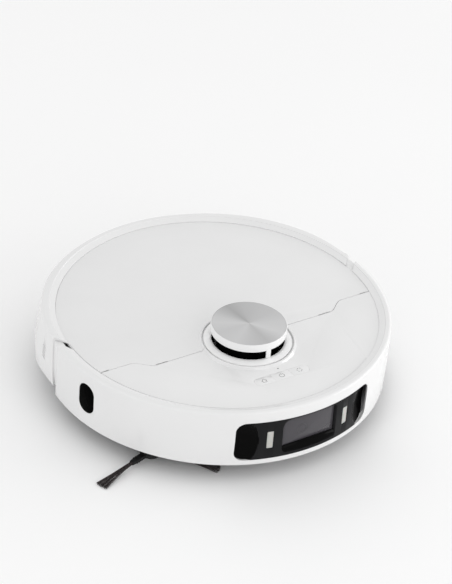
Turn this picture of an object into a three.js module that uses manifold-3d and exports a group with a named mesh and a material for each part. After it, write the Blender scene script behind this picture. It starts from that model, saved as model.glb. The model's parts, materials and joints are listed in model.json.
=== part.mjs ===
// Round robot vacuum with two spinning mop pads, a laser turret on its deck and a sprung front bumper.
// Millimetres, +Z up. The robot drives towards -Y, and its right side is -X. Heights are written above
// the floor; the whole assembly is set down by PLATE_H at the end, so that the origin lies on the
// underside plate, below the axis of the round body. Angles around the body are counted from the front,
// positive towards the robot's left side.

import * as THREE from "three";
import { mergeVertices } from "three/addons/utils/BufferGeometryUtils.js";
import Module from "manifold-3d";

// ---- Driving dimensions ----

const GAP = 0.3; // between neighbouring pieces
const FAR = 200; // well outside the body: how far cutting solids reach
const BODY_SIDES = 64; // facets of everything round about the body's axis
const BODY_R = 175; // widest part of the round body
const PLATE_H = 11; // ground clearance of the underside plate
const PLATE_T = 3;
const RIM_H = 84.2; // top of the rim around the deck
const DECK_H = 80.8;
const DECK_T = 2.6;
const DECK_R = 169.2;
const LID_R = 166.4;

const TUB_R = 164; // side wall of the chassis tub
const TUB_WALL = 3;
const TUB_FOOT_R = 157;
const TUB_TOP = 77.5;

const BUMPER_FOOT_R = 173.3;
const BUMPER_FOOT_H = 20;
const BUMPER_END = 95.7; // degrees from the front
const SHELL_START = 99.7;
const SHELL_FOOT_H = 26;
const SKIN = 2.3; // wall of the bumper and of the rear shell

const VENT_ANGLE = 113;
const VENTS = 5;
const VENT_H = 40;
const VENT_PITCH = 4.4;

const SEAM_MID_Y = -51; // deck and lid meet on this line beside the turret
const SEAM_SIDE_Y = -38; // and on this one near the rim
const SEAM_JOG = [102, 124];

const TURRET_Y = -57;
const TURRET_R = 38;
const TURRET_WELL_R = 45.5;
const LIP_RISE = 2.8; // of the lip around the turret's well, above the deck
const LIP_W = 5.5;
const LIP_CREST_HALF = 1;
const TURRET_SILL_H = 84.9; // lower edge of the turret's slot
const TURRET_BROW_H = 94.2; // upper edge
const TURRET_TOP_H = 102.7;
const POST_ANGLES = [0, 120, 240]; // the cap stands on three posts
const POST_HALF = 4;

const WINDOW_HALF_ANGLE = 25.8;
const WINDOW_H = [25.8, 71.6];
const WINDOW_CORNER = 10;
const BAND_R = [170.4, 173.6]; // inner and outer radius of the window's black band
const SCOOP_ANGLE = 23.4;
const PANE_HALF = 29;
const PANE_H = [31, 67.5];
const LED_ANGLE = 14.6;
const LED_SIZE = [6.4, 20.5];
const LED_H = 48;
const SIDE_EYE_ANGLE = -78.1;
const SIDE_EYE_SIZE = [20, 32.8];
const SIDE_EYE_H = 53.1;

const KEY_Y = -120.5;
const KEY_PITCH = 20.5;
const KEY_DEPTH = 11.6;
const KEY_COLLAR_H = [73.5, 76];

const WHEEL_R = 35;
const WHEEL_X = [116, 138];
const ARM_X = [98, 114.5];
const PIVOT = [44, 40]; // y and height of the suspension pivots, behind the wheels
const PIN_R = 4;
const AXLE_R = 4.6;
const WELL_X = [96.5, 140.5];
const WELL_Y = [-39, 57];
const WELL_TOP = 74.5;
const WELL_WALL = 1.5;

const BRUSH_Y = -45;
const BRUSH_H = 21;
const BRUSH_R = 19;
const BRUSH_X = [-71, 70];
const SHAFT_R = 4;
const GUARD_Y = [-70, -20];
const BRUSH_PULLEY_R = 12;
const BRUSH_MOTOR = [-82, 30];
const BRUSH_MOTOR_PULLEY_R = 5;

const SIDE_BRUSH = [-125, -87];
const SIDE_BRUSH_REACH = 67;
const SIDE_BRUSH_HUB_R = 11;
const SIDE_BRUSH_FIRST = 196; // direction of the first arm, degrees from +X

const CASTER_Y = -137;
const CASTER_WELL_R = 19.8;
const CASTER_WHEEL_R = 12;
const CASTER_TRAIL = 6;
const CASTER_PLATE_H = 26.6; // top of the fork's plate
const CASTER_STEM_R = 3;
const CASTER_TOWER_H = 34;

const MOP_X = 67.5;
const MOP_SIDES = [-MOP_X, MOP_X];
const MOP_Y = 86;
const MOP_R = 64;
const MOP_BAY_R = 66.5;
const MOP_BAY_H = 20.5;
const BELT_T = 1.2;
const GEAR_TEETH = 15;
const GEAR_MODULE = 3; // pitch radius 22.5, so four gears in a row span the two mop shafts
const GEAR_H = [27, 33];
const GEAR_BORE_R = 3;
const MOP_SHAFT_R = 5;
const MOP_PLATE_H = [23.8, 26.4]; // lifting frame

const DECK_CUT = [60, 100]; // heights between which the deck and the lid are cut
const FLOOR_TOP = PLATE_H + PLATE_T + GAP; // what stands on the tub's floor starts here
const RISER_H = 24.2; // what stands over the raised rear floor starts here

// Hidden units, as [x, y] centres and [low, high] spans.
const BIN_X = [-72, 30];
const BIN_Y = [-15.5, 56];
const BIN_H = [RISER_H, 62];
const BIN_WALL = 2;
const INLET_X = [-50, 8];
const INLET_H = [36, 56];
const DUCT_Y = [21, 43]; // air duct from the bin to the fan
const DUCT_H = [44, 53];
const FAN = [61, 32];
const FAN_R = 25;
const FAN_TOP = 60;
const FAN_DECK = 40; // floor of the impeller's chamber; the motor fills the housing below it
const LIDAR_MOTOR = [26, -90];
const LIDAR_MOTOR_PULLEY_R = 4;
const LIDAR_PULLEY_R = 12;
const LIDAR_PULLEY_H = [56.5, 61.5];

// ---- Solids ----

const wasm = await Module();
wasm.setup();

// Turns closed three.js geometry into a solid that can be joined and cut.
function solidOf(geometry) {
  const bare = new THREE.BufferGeometry();
  bare.setAttribute("position", geometry.getAttribute("position").clone());
  bare.setIndex(geometry.index);
  const merged = mergeVertices(bare, 1e-4);
  const index = merged.index.array;
  const p = merged.getAttribute("position");
  const corner = [new THREE.Vector3(), new THREE.Vector3(), new THREE.Vector3()];
  const kept = [];
  let volume = 0;
  for (let i = 0; i < index.length; i += 3) {
    const [a, b, c] = [index[i], index[i + 1], index[i + 2]];
    if (a === b || b === c || c === a) continue;
    kept.push(a, b, c);
    [a, b, c].forEach((v, k) => corner[k].fromBufferAttribute(p, v));
    volume += corner[0].dot(corner[1].cross(corner[2]));
  }
  if (volume < 0) {
    for (let i = 0; i < kept.length; i += 3) [kept[i], kept[i + 1]] = [kept[i + 1], kept[i]];
  }
  const mesh = new wasm.Mesh({
    numProp: 3,
    vertProperties: new Float32Array(p.array),
    triVerts: new Uint32Array(kept),
  });
  return new wasm.Manifold(mesh);
}

function geometryOf(solid) {
  const mesh = solid.getMesh();
  const geometry = new THREE.BufferGeometry();
  geometry.setAttribute("position", new THREE.BufferAttribute(mesh.vertProperties, 3));
  geometry.setIndex(new THREE.BufferAttribute(mesh.triVerts, 1));
  geometry.computeVertexNormals();
  return geometry;
}

const join = (first, ...rest) => rest.reduce((all, solid) => all.add(solid), first);
const cut = (first, ...rest) => rest.reduce((all, solid) => all.subtract(solid), first);

function box(x, y, z) {
  const g = new THREE.BoxGeometry(x[1] - x[0], y[1] - y[0], z[1] - z[0]);
  g.translate((x[0] + x[1]) / 2, (y[0] + y[1]) / 2, (z[0] + z[1]) / 2);
  return solidOf(g);
}

// An outline drawn in the plane across `axis` and pulled along it from low to high:
// "z" takes (x, y) points, "x" takes (y, z) points and "y" takes (x, z) points.
function prism(outline, [low, high], axis = "z") {
  const shape = Array.isArray(outline) ? new THREE.Shape(outline) : outline;
  const g = new THREE.ExtrudeGeometry(shape, { depth: high - low, bevelEnabled: false, curveSegments: 2 });
  g.translate(0, 0, low);
  const swap = new THREE.Matrix4();
  if (axis === "x") swap.set(0, 0, 1, 0, 1, 0, 0, 0, 0, 1, 0, 0, 0, 0, 0, 1);
  if (axis === "y") swap.set(1, 0, 0, 0, 0, 0, 1, 0, 0, 1, 0, 0, 0, 0, 0, 1);
  g.applyMatrix4(swap);
  return solidOf(g);
}

const polar = (r, angle, [u, v] = [0, 0]) =>
  new THREE.Vector2(u + r * Math.cos(angle), v + r * Math.sin(angle));

const circle = (r, centre, sides) =>
  Array.from({ length: sides }, (_, i) => polar(r, (2 * Math.PI * i) / sides, centre));

const corner = (x, y) => new THREE.Vector2(x, y);
const grown = (span, by) => [span[0] - by, span[1] + by];
// A span along X on the robot's left (side 1) or right (side -1).
const sided = (side, span) => span.map((v) => side * v).sort((a, b) => a - b);

const rod = (r, centre, span, axis = "z", sides = 24) => prism(circle(r, centre, sides), span, axis);

// A closed profile of [radius, height] turned around the vertical line through (x, y).
function turned(profile, sides, x = 0, y = 0) {
  const points = [...profile, profile[0]].map(([r, h]) => new THREE.Vector2(r, h));
  const g = new THREE.LatheGeometry(points, sides);
  g.rotateX(Math.PI / 2);
  g.translate(x, y, 0);
  return solidOf(g);
}

// A point on the wall at an angle from the front.
function onWall(r, degrees) {
  const t = THREE.MathUtils.degToRad(degrees);
  return new THREE.Vector2(r * Math.sin(t), -r * Math.cos(t));
}

// A wedge of the body between two angles from the front, from r0 outwards.
function wedge(from, to, span, r0 = 0, r1 = FAR) {
  const widest = 6;
  const steps = Math.ceil((to - from) / widest);
  const angles = Array.from({ length: steps + 1 }, (_, i) => from + ((to - from) * i) / steps);
  const inner = r0 ? angles.map((a) => onWall(r0, a)).reverse() : [new THREE.Vector2(0, 0)];
  return prism([...angles.map((a) => onWall(r1, a)), ...inner], span);
}

// A rounded rectangle centred on (u, v).
function roundedRect(width, height, r, [u, v] = [0, 0]) {
  const [w, h] = [width / 2, height / 2];
  const s = new THREE.Shape();
  s.absarc(u + w - r, v + h - r, r, 0, Math.PI / 2);
  s.absarc(u - w + r, v + h - r, r, Math.PI / 2, Math.PI);
  s.absarc(u - w + r, v - h + r, r, Math.PI, 1.5 * Math.PI);
  s.absarc(u + w - r, v - h + r, r, 1.5 * Math.PI, 2 * Math.PI);
  s.closePath();
  return s;
}

// The tight loop around two circles, standing off both by `play`.
function beltLoop(centre0, r0, centre1, r1, play) {
  const [du, dv] = [centre1[0] - centre0[0], centre1[1] - centre0[1]];
  const along = Math.atan2(dv, du);
  const lean = Math.acos((r0 - r1) / Math.hypot(du, dv));
  const steps = 10;
  const arc = (centre, r, from, to) =>
    Array.from({ length: steps + 1 }, (_, i) => polar(r + play, from + ((to - from) * i) / steps, centre));
  return [
    ...arc(centre0, r0, along + lean, along + 2 * Math.PI - lean),
    ...arc(centre1, r1, along - lean, along + lean),
  ];
}

// ---- The assembly ----

const robot = new THREE.Group();
robot.position.z = -PLATE_H;

const FINISHES = {
  white_gloss: [0xf4f4f3, 0.12, 0],
  white_satin: [0xf0f0ef, 0.38, 0],
  black_gloss: [0x0b0b0c, 0.12, 0],
  black_matte: [0x1b1b1d, 0.6, 0],
  dark_grey: [0x3a3b3e, 0.55, 0],
  mid_grey: [0x8c8e90, 0.5, 0],
  aluminium: [0xb9babb, 0.3, 1],
  steel: [0xa8a9ab, 0.35, 1],
  led_cover: [0xc9c8c2, 0.35, 0],
  glass: [0x4a484c, 0.08, 0],
  smoke: [0x5d6064, 0.2, 0],
  rubber: [0x151516, 0.75, 0],
  bristle: [0x3b3230, 0.7, 0],
  mop_fabric: [0x8f9499, 0.95, 0],
  board_green: [0x1f5a3c, 0.5, 0],
  filter_paper: [0xdedbd0, 0.9, 0],
  battery_wrap: [0x2c4a7c, 0.5, 0],
};

function part(name, solid, finish, group = robot) {
  const [color, roughness, metalness] = FINISHES[finish];
  const material = new THREE.MeshStandardMaterial({ color, roughness, metalness });
  const mesh = new THREE.Mesh(geometryOf(solid), material);
  mesh.name = name;
  group.add(mesh);
  return mesh;
}

// ---- Chassis tub ----

function chassis() {
  const wallIn = TUB_R - TUB_WALL;
  const footRise = 7; // the foot of the wall is chamfered
  const tub = turned(
    [
      [0, PLATE_H],
      [TUB_FOOT_R, PLATE_H],
      [TUB_R, PLATE_H + footRise],
      [TUB_R, TUB_TOP],
      [wallIn, TUB_TOP],
      [wallIn, PLATE_H + footRise + 1],
      [TUB_FOOT_R - 1, PLATE_H + PLATE_T],
      [0, PLATE_H + PLATE_T],
    ],
    BODY_SIDES,
  );

  // The rear floor is raised over the two mop pads.
  const overMops = (r, span) => join(...MOP_SIDES.map((x) => rod(r, [x, MOP_Y], span, "z", 40)));
  const raised = [PLATE_H, MOP_BAY_H + PLATE_T];
  const body = rod(TUB_R - 0.5, [0, 0], raised, "z", BODY_SIDES);
  const bayRoof = overMops(MOP_BAY_R + PLATE_T, raised).intersect(body);
  const bay = overMops(MOP_BAY_R, [0, MOP_BAY_H]);
  const shaftHoles = overMops(MOP_SHAFT_R + 0.6, [0, MOP_BAY_H + 2 * PLATE_T]);

  // Each wheel sits in a well of its own, whose inner wall holds the suspension pivot.
  const wells = [-1, 1].map((side) =>
    box(
      sided(side, grown(WELL_X, WELL_WALL)),
      grown(WELL_Y, WELL_WALL),
      [PLATE_H + 1, WELL_TOP + WELL_WALL],
    ),
  );
  const lug = [WELL_X[0] - 6, WELL_X[0]];
  const lugs = [-1, 1].map((side) => rod(PIN_R + 5, PIVOT, sided(side, lug), "x", 20));
  const hollows = [-1, 1].flatMap((side) => [
    box(sided(side, WELL_X), WELL_Y, [0, WELL_TOP]),
    rod(PIN_R + GAP, PIVOT, sided(side, grown(lug, 1)), "x", 20),
  ]);

  const casterTower = rod(CASTER_WELL_R + 2.5, [0, CASTER_Y], [PLATE_H + 1, CASTER_TOWER_H], "z", 32);
  const casterSocket = join(
    rod(CASTER_WELL_R, [0, CASTER_Y], [0, CASTER_PLATE_H + GAP], "z", 32),
    rod(CASTER_STEM_R + 0.4, [0, CASTER_Y], [0, CASTER_TOWER_H + 1], "z", 20),
  );
  const sideBrushHole = rod(SIDE_BRUSH_HUB_R + 1, SIDE_BRUSH, [0, 20], "z", 28);
  const brushOpening = box([-80, 80], grown(GUARD_Y, 0.4), [0, 20]);
  const cameraOpening = box([-34, 34], [-FAR, -140], [26, 70]);
  return cut(
    join(tub, bayRoof, ...wells, ...lugs, casterTower),
    bay,
    shaftHoles,
    ...hollows,
    casterSocket,
    sideBrushHole,
    brushOpening,
    cameraOpening,
  );
}

// ---- Outer casings ----

// The rounded shoulder, as [radius, height], up to the rim.
const RIM_PROFILE = [
  [BODY_R, RIM_H - 4.8],
  [BODY_R - 0.8, RIM_H - 2.2],
  [BODY_R - 2.4, RIM_H - 0.6],
  [BODY_R - 4.6, RIM_H],
];
const RIM_IN_H = RIM_H - 1.2; // the rim's inner edge is chamfered down to this height
const WAIST_H = 50;

function windowOutline(play) {
  const half = BODY_R * Math.sin(THREE.MathUtils.degToRad(WINDOW_HALF_ANGLE)) - play;
  const [low, high] = WINDOW_H;
  return roundedRect(2 * half, high - low - 2 * play, WINDOW_CORNER - play, [0, (low + high) / 2]);
}

function sideEyeCutter(play, rIn, rOut) {
  const [w, h] = SIDE_EYE_SIZE;
  const outline = roundedRect(w - 2 * play, h - 2 * play, w / 2 - play - 0.1, [0, SIDE_EYE_H]);
  return prism(outline, [-rOut, -rIn], "y").rotate([0, 0, SIDE_EYE_ANGLE]);
}

function bumper() {
  const rimIn = 167.4;
  const ring = turned(
    [
      [BUMPER_FOOT_R, BUMPER_FOOT_H],
      [BODY_R - 0.4, WAIST_H],
      ...RIM_PROFILE,
      [rimIn + 1.4, RIM_H],
      [rimIn, RIM_IN_H],
      [rimIn, DECK_H + GAP],
      [BODY_R - SKIN, DECK_H + GAP],
      [BODY_R - SKIN, WAIST_H],
      [BUMPER_FOOT_R - SKIN, BUMPER_FOOT_H],
    ],
    BODY_SIDES,
  );
  const front = ring.intersect(wedge(-BUMPER_END, BUMPER_END, [0, 100]));
  const windowHole = prism(windowOutline(0), [-FAR, -120], "y");
  return cut(front, windowHole, sideEyeCutter(0, 150, FAR));
}

function rearShell() {
  const ledge = TUB_R + 0.4; // the shell's foot and its upper ledge reach in to the tub's wall
  const ledgeTop = TUB_TOP - 0.1;
  const ledgeUnder = TUB_TOP - 2.5;
  const rimIn = LID_R + 0.5;
  const ring = turned(
    [
      [BODY_R - 1.2, SHELL_FOOT_H],
      [BODY_R, WAIST_H - 5],
      ...RIM_PROFILE,
      [rimIn + 1.3, RIM_H],
      [rimIn, RIM_IN_H],
      [rimIn, ledgeTop],
      [ledge, ledgeTop],
      [ledge, ledgeUnder],
      [BODY_R - SKIN, ledgeUnder],
      [BODY_R - SKIN, SHELL_FOOT_H + SKIN],
      [ledge, SHELL_FOOT_H + SKIN],
      [ledge, SHELL_FOOT_H],
    ],
    BODY_SIDES,
  );
  const rear = ring.intersect(wedge(SHELL_START, 360 - SHELL_START, [0, 100]));
  // Tongues that reach in under the bumper's two ends.
  const tongueR = [168.4, 170.6];
  const [tip, root] = [BUMPER_END - 1.2, SHELL_START + 0.6];
  const tongueH = [SHELL_FOOT_H, TUB_TOP - 1.5];
  const tongues = [
    wedge(tip, root, tongueH, ...tongueR),
    wedge(-root, -tip, tongueH, ...tongueR),
  ];
  const vents = Array.from({ length: VENTS }, (_, i) => {
    const low = VENT_H + VENT_PITCH * i;
    const slot = box([-4, 4], [-FAR, -160], [low, low + 1.8]);
    return [-VENT_ANGLE, VENT_ANGLE].map((a) => slot.rotate([0, 0, a]));
  }).flat();
  return cut(join(rear, ...tongues), ...vents);
}

// The line where the deck and the lid meet, from the right rim to the left rim.
function seamLine(shift) {
  const [inner, outer] = SEAM_JOG;
  const y = (x) => {
    const t = THREE.MathUtils.smoothstep(Math.abs(x), inner, outer);
    return SEAM_MID_Y + (SEAM_SIDE_Y - SEAM_MID_Y) * t + shift;
  };
  const steps = 6;
  const jog = Array.from({ length: steps + 1 }, (_, i) => inner + ((outer - inner) * i) / steps);
  const half = [...jog, FAR].map((x) => corner(x, y(x)));
  const mirrored = half.map((p) => corner(-p.x, p.y)).reverse();
  return [...mirrored, ...half];
}

const turretWell = () => rod(TURRET_WELL_R, [0, TURRET_Y], DECK_CUT, "z", 40);

// The deck and the lid rise to a low lip around the turret's well.
function wellLip() {
  const foot = DECK_H - LIP_CREST_HALF;
  const crest = DECK_H + LIP_RISE;
  const profile = [
    [TURRET_WELL_R - LIP_CREST_HALF, foot],
    [TURRET_WELL_R - LIP_CREST_HALF, crest],
    [TURRET_WELL_R + LIP_CREST_HALF, crest],
    [TURRET_WELL_R + LIP_W, DECK_H],
    [TURRET_WELL_R + LIP_W, foot],
  ];
  return turned(profile, 40, 0, TURRET_Y);
}

function frontDeck() {
  const span = [DECK_H - DECK_T, DECK_H];
  const ahead = prism([...seamLine(-GAP / 2), corner(FAR, -FAR), corner(-FAR, -FAR)], DECK_CUT);
  const plate = rod(DECK_R, [0, 0], span, "z", BODY_SIDES).intersect(ahead);
  const border = cut(
    rod(DECK_R, [0, 0], span, "z", BODY_SIDES),
    rod(LID_R + GAP, [0, 0], DECK_CUT, "z", BODY_SIDES),
  ).intersect(wedge(-SHELL_START + 0.4, SHELL_START - 0.4, span));
  const keyHole = prism(
    roundedRect(3 * KEY_PITCH + 2 * GAP, KEY_DEPTH + 2 * GAP, KEY_DEPTH / 2, [0, KEY_Y]),
    DECK_CUT,
  );
  return cut(join(plate, border, wellLip().intersect(ahead)), turretWell(), keyHole);
}

function rearLid() {
  const behind = prism([...seamLine(GAP / 2).reverse(), corner(-FAR, FAR), corner(FAR, FAR)], DECK_CUT);
  const plate = rod(LID_R, [0, 0], [TUB_TOP + GAP, DECK_H], "z", BODY_SIDES);
  return cut(join(plate, wellLip()).intersect(behind), turretWell());
}

// ---- Buttons ----

// Three keys share one pill; each has a collar that keeps it under the deck.
function key(index) {
  const pill = roundedRect(3 * KEY_PITCH, KEY_DEPTH, KEY_DEPTH / 2 - GAP, [0, KEY_Y]);
  const [low, high] = [(index - 0.5) * KEY_PITCH + GAP / 2, (index + 0.5) * KEY_PITCH - GAP / 2];
  const top = prism(pill, [KEY_COLLAR_H[0], DECK_H]).intersect(box([low, high], [-FAR, 0], DECK_CUT));
  const edge = KEY_PITCH * 1.5 - 1;
  const collarX = [Math.max(low, -edge), Math.min(high, edge)];
  const collarY = grown([KEY_Y, KEY_Y], KEY_DEPTH / 2 + 1.6);
  return join(top, box(collarX, collarY, KEY_COLLAR_H));
}

// ---- Laser turret ----

function turret() {
  const [bore, chamberR] = [4.4, 35.4];
  const [underside, chamberH] = [63.4, 66];
  const [flangeR, flangeH] = [47.5, 74.4];
  const skirtR = 43.4; // the white ring around the turret, standing out of the deck
  const housing = turned(
    [
      [skirtR, TUB_TOP - 0.1],
      [skirtR, DECK_H + 1.4],
      [skirtR - 1, DECK_H + 2.4],
      [TURRET_R + 0.8, TURRET_SILL_H],
      [chamberR, TURRET_SILL_H],
      [chamberR, chamberH],
      [bore, chamberH],
      [bore, underside],
      [TURRET_R, underside],
      [TURRET_R, flangeH],
      [flangeR, flangeH],
      [flangeR, TUB_TOP - 0.1],
    ],
    32,
    0,
    TURRET_Y,
  );
  part("lidar_housing", housing, "white_satin");

  const discR = TURRET_R - 1.3;
  const recess = [discR + GAP, TURRET_TOP_H - 1.3];
  const ceilingR = 34.6;
  const dome = turned(
    [
      [0, TURRET_BROW_H + 3.2],
      [ceilingR, TURRET_BROW_H + 3.2],
      [ceilingR, TURRET_BROW_H],
      [TURRET_R, TURRET_BROW_H],
      [TURRET_R, TURRET_TOP_H - 1],
      [TURRET_R - 0.5, TURRET_TOP_H],
      [recess[0], TURRET_TOP_H],
      recess,
      [0, recess[1]],
    ],
    32,
  );
  const slotRing = cut(
    rod(TURRET_R - 0.1, [0, 0], [TURRET_SILL_H + GAP, TURRET_BROW_H + 1], "z", 32),
    rod(chamberR, [0, 0], [0, FAR], "z", 32),
  );
  const posts = POST_ANGLES.map((a) => slotRing.intersect(wedge(a - POST_HALF, a + POST_HALF, [0, FAR])));
  part("lidar_cap", join(dome, ...posts).translate([0, TURRET_Y, 0]), "white_satin");
  const discH = [recess[1] + GAP, TURRET_TOP_H + 0.1];
  part("lidar_disc", rod(discR, [0, TURRET_Y], discH, "z", 32), "aluminium");

  const headR = 31;
  const head = turned(
    [
      [0, LIDAR_PULLEY_H[0]],
      [LIDAR_PULLEY_R, LIDAR_PULLEY_H[0]],
      [LIDAR_PULLEY_R, LIDAR_PULLEY_H[1]],
      [bore - 0.4, LIDAR_PULLEY_H[1]],
      [bore - 0.4, chamberH + 1],
      [headR, chamberH + 1],
      [headR, TURRET_BROW_H - 1.8],
      [0, TURRET_BROW_H - 1.8],
    ],
    28,
    0,
    TURRET_Y,
  );
  const eyes = [-13, 13].map((x) => rod(7, [x, 82], [-FAR, TURRET_Y - headR + 4], "y", 20));
  part("lidar_rotor", cut(head, ...eyes), "black_gloss");

  const motorTop = 54.5;
  part("lidar_motor", rod(10, LIDAR_MOTOR, [36, motorTop], "z", 28), "steel");
  const pulley = join(
    rod(LIDAR_MOTOR_PULLEY_R, LIDAR_MOTOR, LIDAR_PULLEY_H, "z", 20),
    rod(1.5, LIDAR_MOTOR, [motorTop + 0.4, LIDAR_PULLEY_H[0] + 0.5], "z", 12),
  );
  part("lidar_motor_pulley", pulley, "black_matte");
  const loop = (play, span) =>
    prism(beltLoop([0, TURRET_Y], LIDAR_PULLEY_R, LIDAR_MOTOR, LIDAR_MOTOR_PULLEY_R, play), span);
  const beltH = grown(LIDAR_PULLEY_H, -0.9);
  part("lidar_belt", cut(loop(BELT_T + GAP, beltH), loop(GAP, [0, FAR])), "rubber");
}

// ---- Window, camera and lamps in the bumper ----

function bumperSensors() {
  const band = cut(
    rod(BAND_R[1], [0, 0], [20, 80], "z", BODY_SIDES),
    rod(BAND_R[0], [0, 0], [0, FAR], "z", BODY_SIDES),
  ).intersect(prism(windowOutline(GAP), [-FAR, -120], "y"));
  const [paneLow, paneHigh] = PANE_H;
  const paneOutline = (play) =>
    roundedRect(
      2 * (PANE_HALF + play),
      paneHigh - paneLow + 2 * play,
      3.6 + play,
      [0, (paneLow + paneHigh) / 2],
    );
  const paneHole = prism(paneOutline(0.5), [-FAR, -120], "y");
  const lamp = (side, play, span) => {
    const outline = roundedRect(LED_SIZE[0] - 2 * play, LED_SIZE[1] - 2 * play, 1, [0, LED_H]);
    return prism(outline, span, "y").rotate([0, 0, side * LED_ANGLE]);
  };
  const lampHoles = [-1, 1].map((side) => lamp(side, 0, [-FAR, -150]));
  // Shallow scoops at both ends of the window.
  const scoopR = 26;
  const scoopDepth = 2.8;
  const scoops = [-1, 1].map((side) => {
    const ball = solidOf(new THREE.SphereGeometry(scoopR, 24, 16));
    const at = onWall(BAND_R[1] + scoopR - scoopDepth, side * SCOOP_ANGLE);
    return ball.scale([1, 1, 1.15]).translate([at.x, at.y, LED_H]);
  });
  part("sensor_window", cut(band, paneHole, ...lampHoles, ...scoops), "black_gloss");
  part("sensor_pane", prism(paneOutline(0), [-168.6, -167], "y"), "glass");

  const lensFront = -166.6; // clear of the pane by 0.4
  const lensBack = -163;
  const [lensX, lensH] = [-9, 57];
  const board = box([-29, 29], [-163.4, -161], [32, 66]);
  const barrel = cut(
    rod(6.4, [lensX, lensH], [lensFront, lensBack], "y", 28),
    rod(4.4, [lensX, lensH], [lensFront - 1, lensFront + 1.2], "y", 24),
  );
  const emitter = rod(4, [-lensX + 1, lensH], [lensFront, lensBack], "y", 24);
  const block = box([-20, 20], [-161.2, -157], [38, 60]);
  part("camera_module", join(board, barrel, emitter, block), "black_matte");

  part("led_bar_right", lamp(-1, GAP, [-BAND_R[1] + 0.6, -169]), "led_cover");
  part("led_bar_left", lamp(1, GAP, [-BAND_R[1] + 0.6, -169]), "led_cover");
  part("side_sensor_window", sideEyeCutter(GAP, 171.4, 174), "black_gloss");
}

// ---- Dust bin, filter, suction fan ----

function dustBin() {
  const outer = box(BIN_X, BIN_Y, BIN_H);
  const inner = box(
    grown(BIN_X, -BIN_WALL),
    grown(BIN_Y, -BIN_WALL),
    [BIN_H[0] + BIN_WALL, BIN_H[1] + 1],
  );
  const inlet = box(INLET_X, grown([BIN_Y[0], BIN_Y[0]], 2 * BIN_WALL), INLET_H);
  const outlet = box(grown([BIN_X[1], BIN_X[1]], 2 * BIN_WALL), grown(DUCT_Y, 3), grown(DUCT_H, 3));
  part("dust_bin", cut(outer, inner, inlet, outlet), "smoke");

  const coverTop = BIN_H[1] + 3;
  const handleX = [-46, 4];
  const handleY = [12, 28];
  const cover = box(BIN_X, BIN_Y, [BIN_H[1] + GAP, coverTop]);
  const handle = cut(
    box(handleX, handleY, [coverTop - 1, coverTop + 4]),
    box(grown(handleX, -5), grown(handleY, 5), [coverTop, coverTop + 1.4]),
  );
  part("dust_bin_cover", join(cover, handle), "dark_grey");

  const filterX = [BIN_X[1] - 10, BIN_X[1] - BIN_WALL - GAP];
  const filterH = grown(DUCT_H, 5);
  const frame = box(filterX, grown(DUCT_Y, 6), [34, 58]);
  const pleats = Array.from({ length: 7 }, (_, i) => {
    const low = 18 + 4.4 * i;
    return box([filterX[0] - 1, filterX[0] + 3.5], [low, low + 2], [filterH[0] - 3, filterH[1] - 2]);
  });
  part("dust_filter", cut(frame, ...pleats), "filter_paper");
}

function suctionFan() {
  const [hubR, intakeR, chamberR] = [6, 9, FAN_R - 2.4];
  const ceiling = FAN_TOP - 2.5;
  const housing = turned(
    [
      [0, RISER_H],
      [FAN_R, RISER_H],
      [FAN_R, FAN_TOP],
      [intakeR, FAN_TOP],
      [intakeR, ceiling],
      [chamberR, ceiling],
      [chamberR, FAN_DECK],
      [0, FAN_DECK],
    ],
    28,
    ...FAN,
  );
  const duct = box([BIN_X[1] + GAP, FAN[0] - FAN_R + 6], grown(DUCT_Y, BIN_WALL), grown(DUCT_H, BIN_WALL));
  const bore = box([BIN_X[1] - 1, FAN[0]], DUCT_Y, DUCT_H);
  const exhaust = box([FAN[0], FAN[0] + FAN_R + 5], [24, 40], DUCT_H);
  const chamber = rod(chamberR, FAN, [FAN_DECK, ceiling], "z", 28);
  part("fan_housing", cut(join(housing, duct), bore, exhaust, chamber), "dark_grey");

  const base = FAN_DECK + 1;
  const bladeR = chamberR - 1.6;
  const hub = join(
    rod(hubR, FAN, [base, ceiling - 3.5], "z", 20),
    rod(bladeR + 0.4, FAN, [base, base + 1.6], "z", 28),
  );
  const blades = Array.from({ length: 9 }, (_, i) =>
    box([hubR - 1, bladeR], [-0.7, 0.7], [base + 1, ceiling - 4.5])
      .rotate([0, 0, 40 * i])
      .translate([...FAN, 0]),
  );
  part("fan_impeller", join(hub, ...blades), "mid_grey");
}

// ---- Electronics, battery, water ----

function stowage() {
  const boardTop = 41.6;
  const board = box([-55, 55], [-148, -104], [boardTop - 1.6, boardTop]);
  const chip = (x, y, height) => box(x, y, [boardTop - 0.2, boardTop + height]);
  const chips = [
    chip([-30, -12], [-140, -122], 2),
    chip([0, 10], [-138, -128], 1.6),
    chip([26, 44], [-134, -118], 3),
    chip([-48, -38], [-130, -110], 5.4),
    chip([-20, 10], [-112, -106], 4.4),
  ];
  part("main_board", join(board, ...chips), "board_green");
  part("battery_pack", box([-62, 62], [114.5, 146], [RISER_H, 61]), "battery_wrap");

  const tankTop = 74;
  const tank = box([-112, -41], [61, 109], [45, tankTop]);
  const neck = rod(7, [-60, 84], [tankTop - 1, tankTop + 2.4], "z", 24);
  part("water_tank", join(tank, neck), "smoke");

  const pumpTop = 62;
  const pump = box([20, 46], [66, 90], [46, pumpTop]);
  const pumpHead = rod(9, [33, 78], [pumpTop - 1, pumpTop + 6], "z", 24);
  part("water_pump", join(pump, pumpHead), "dark_grey");
}

// ---- Main brush and its belt drive ----

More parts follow.
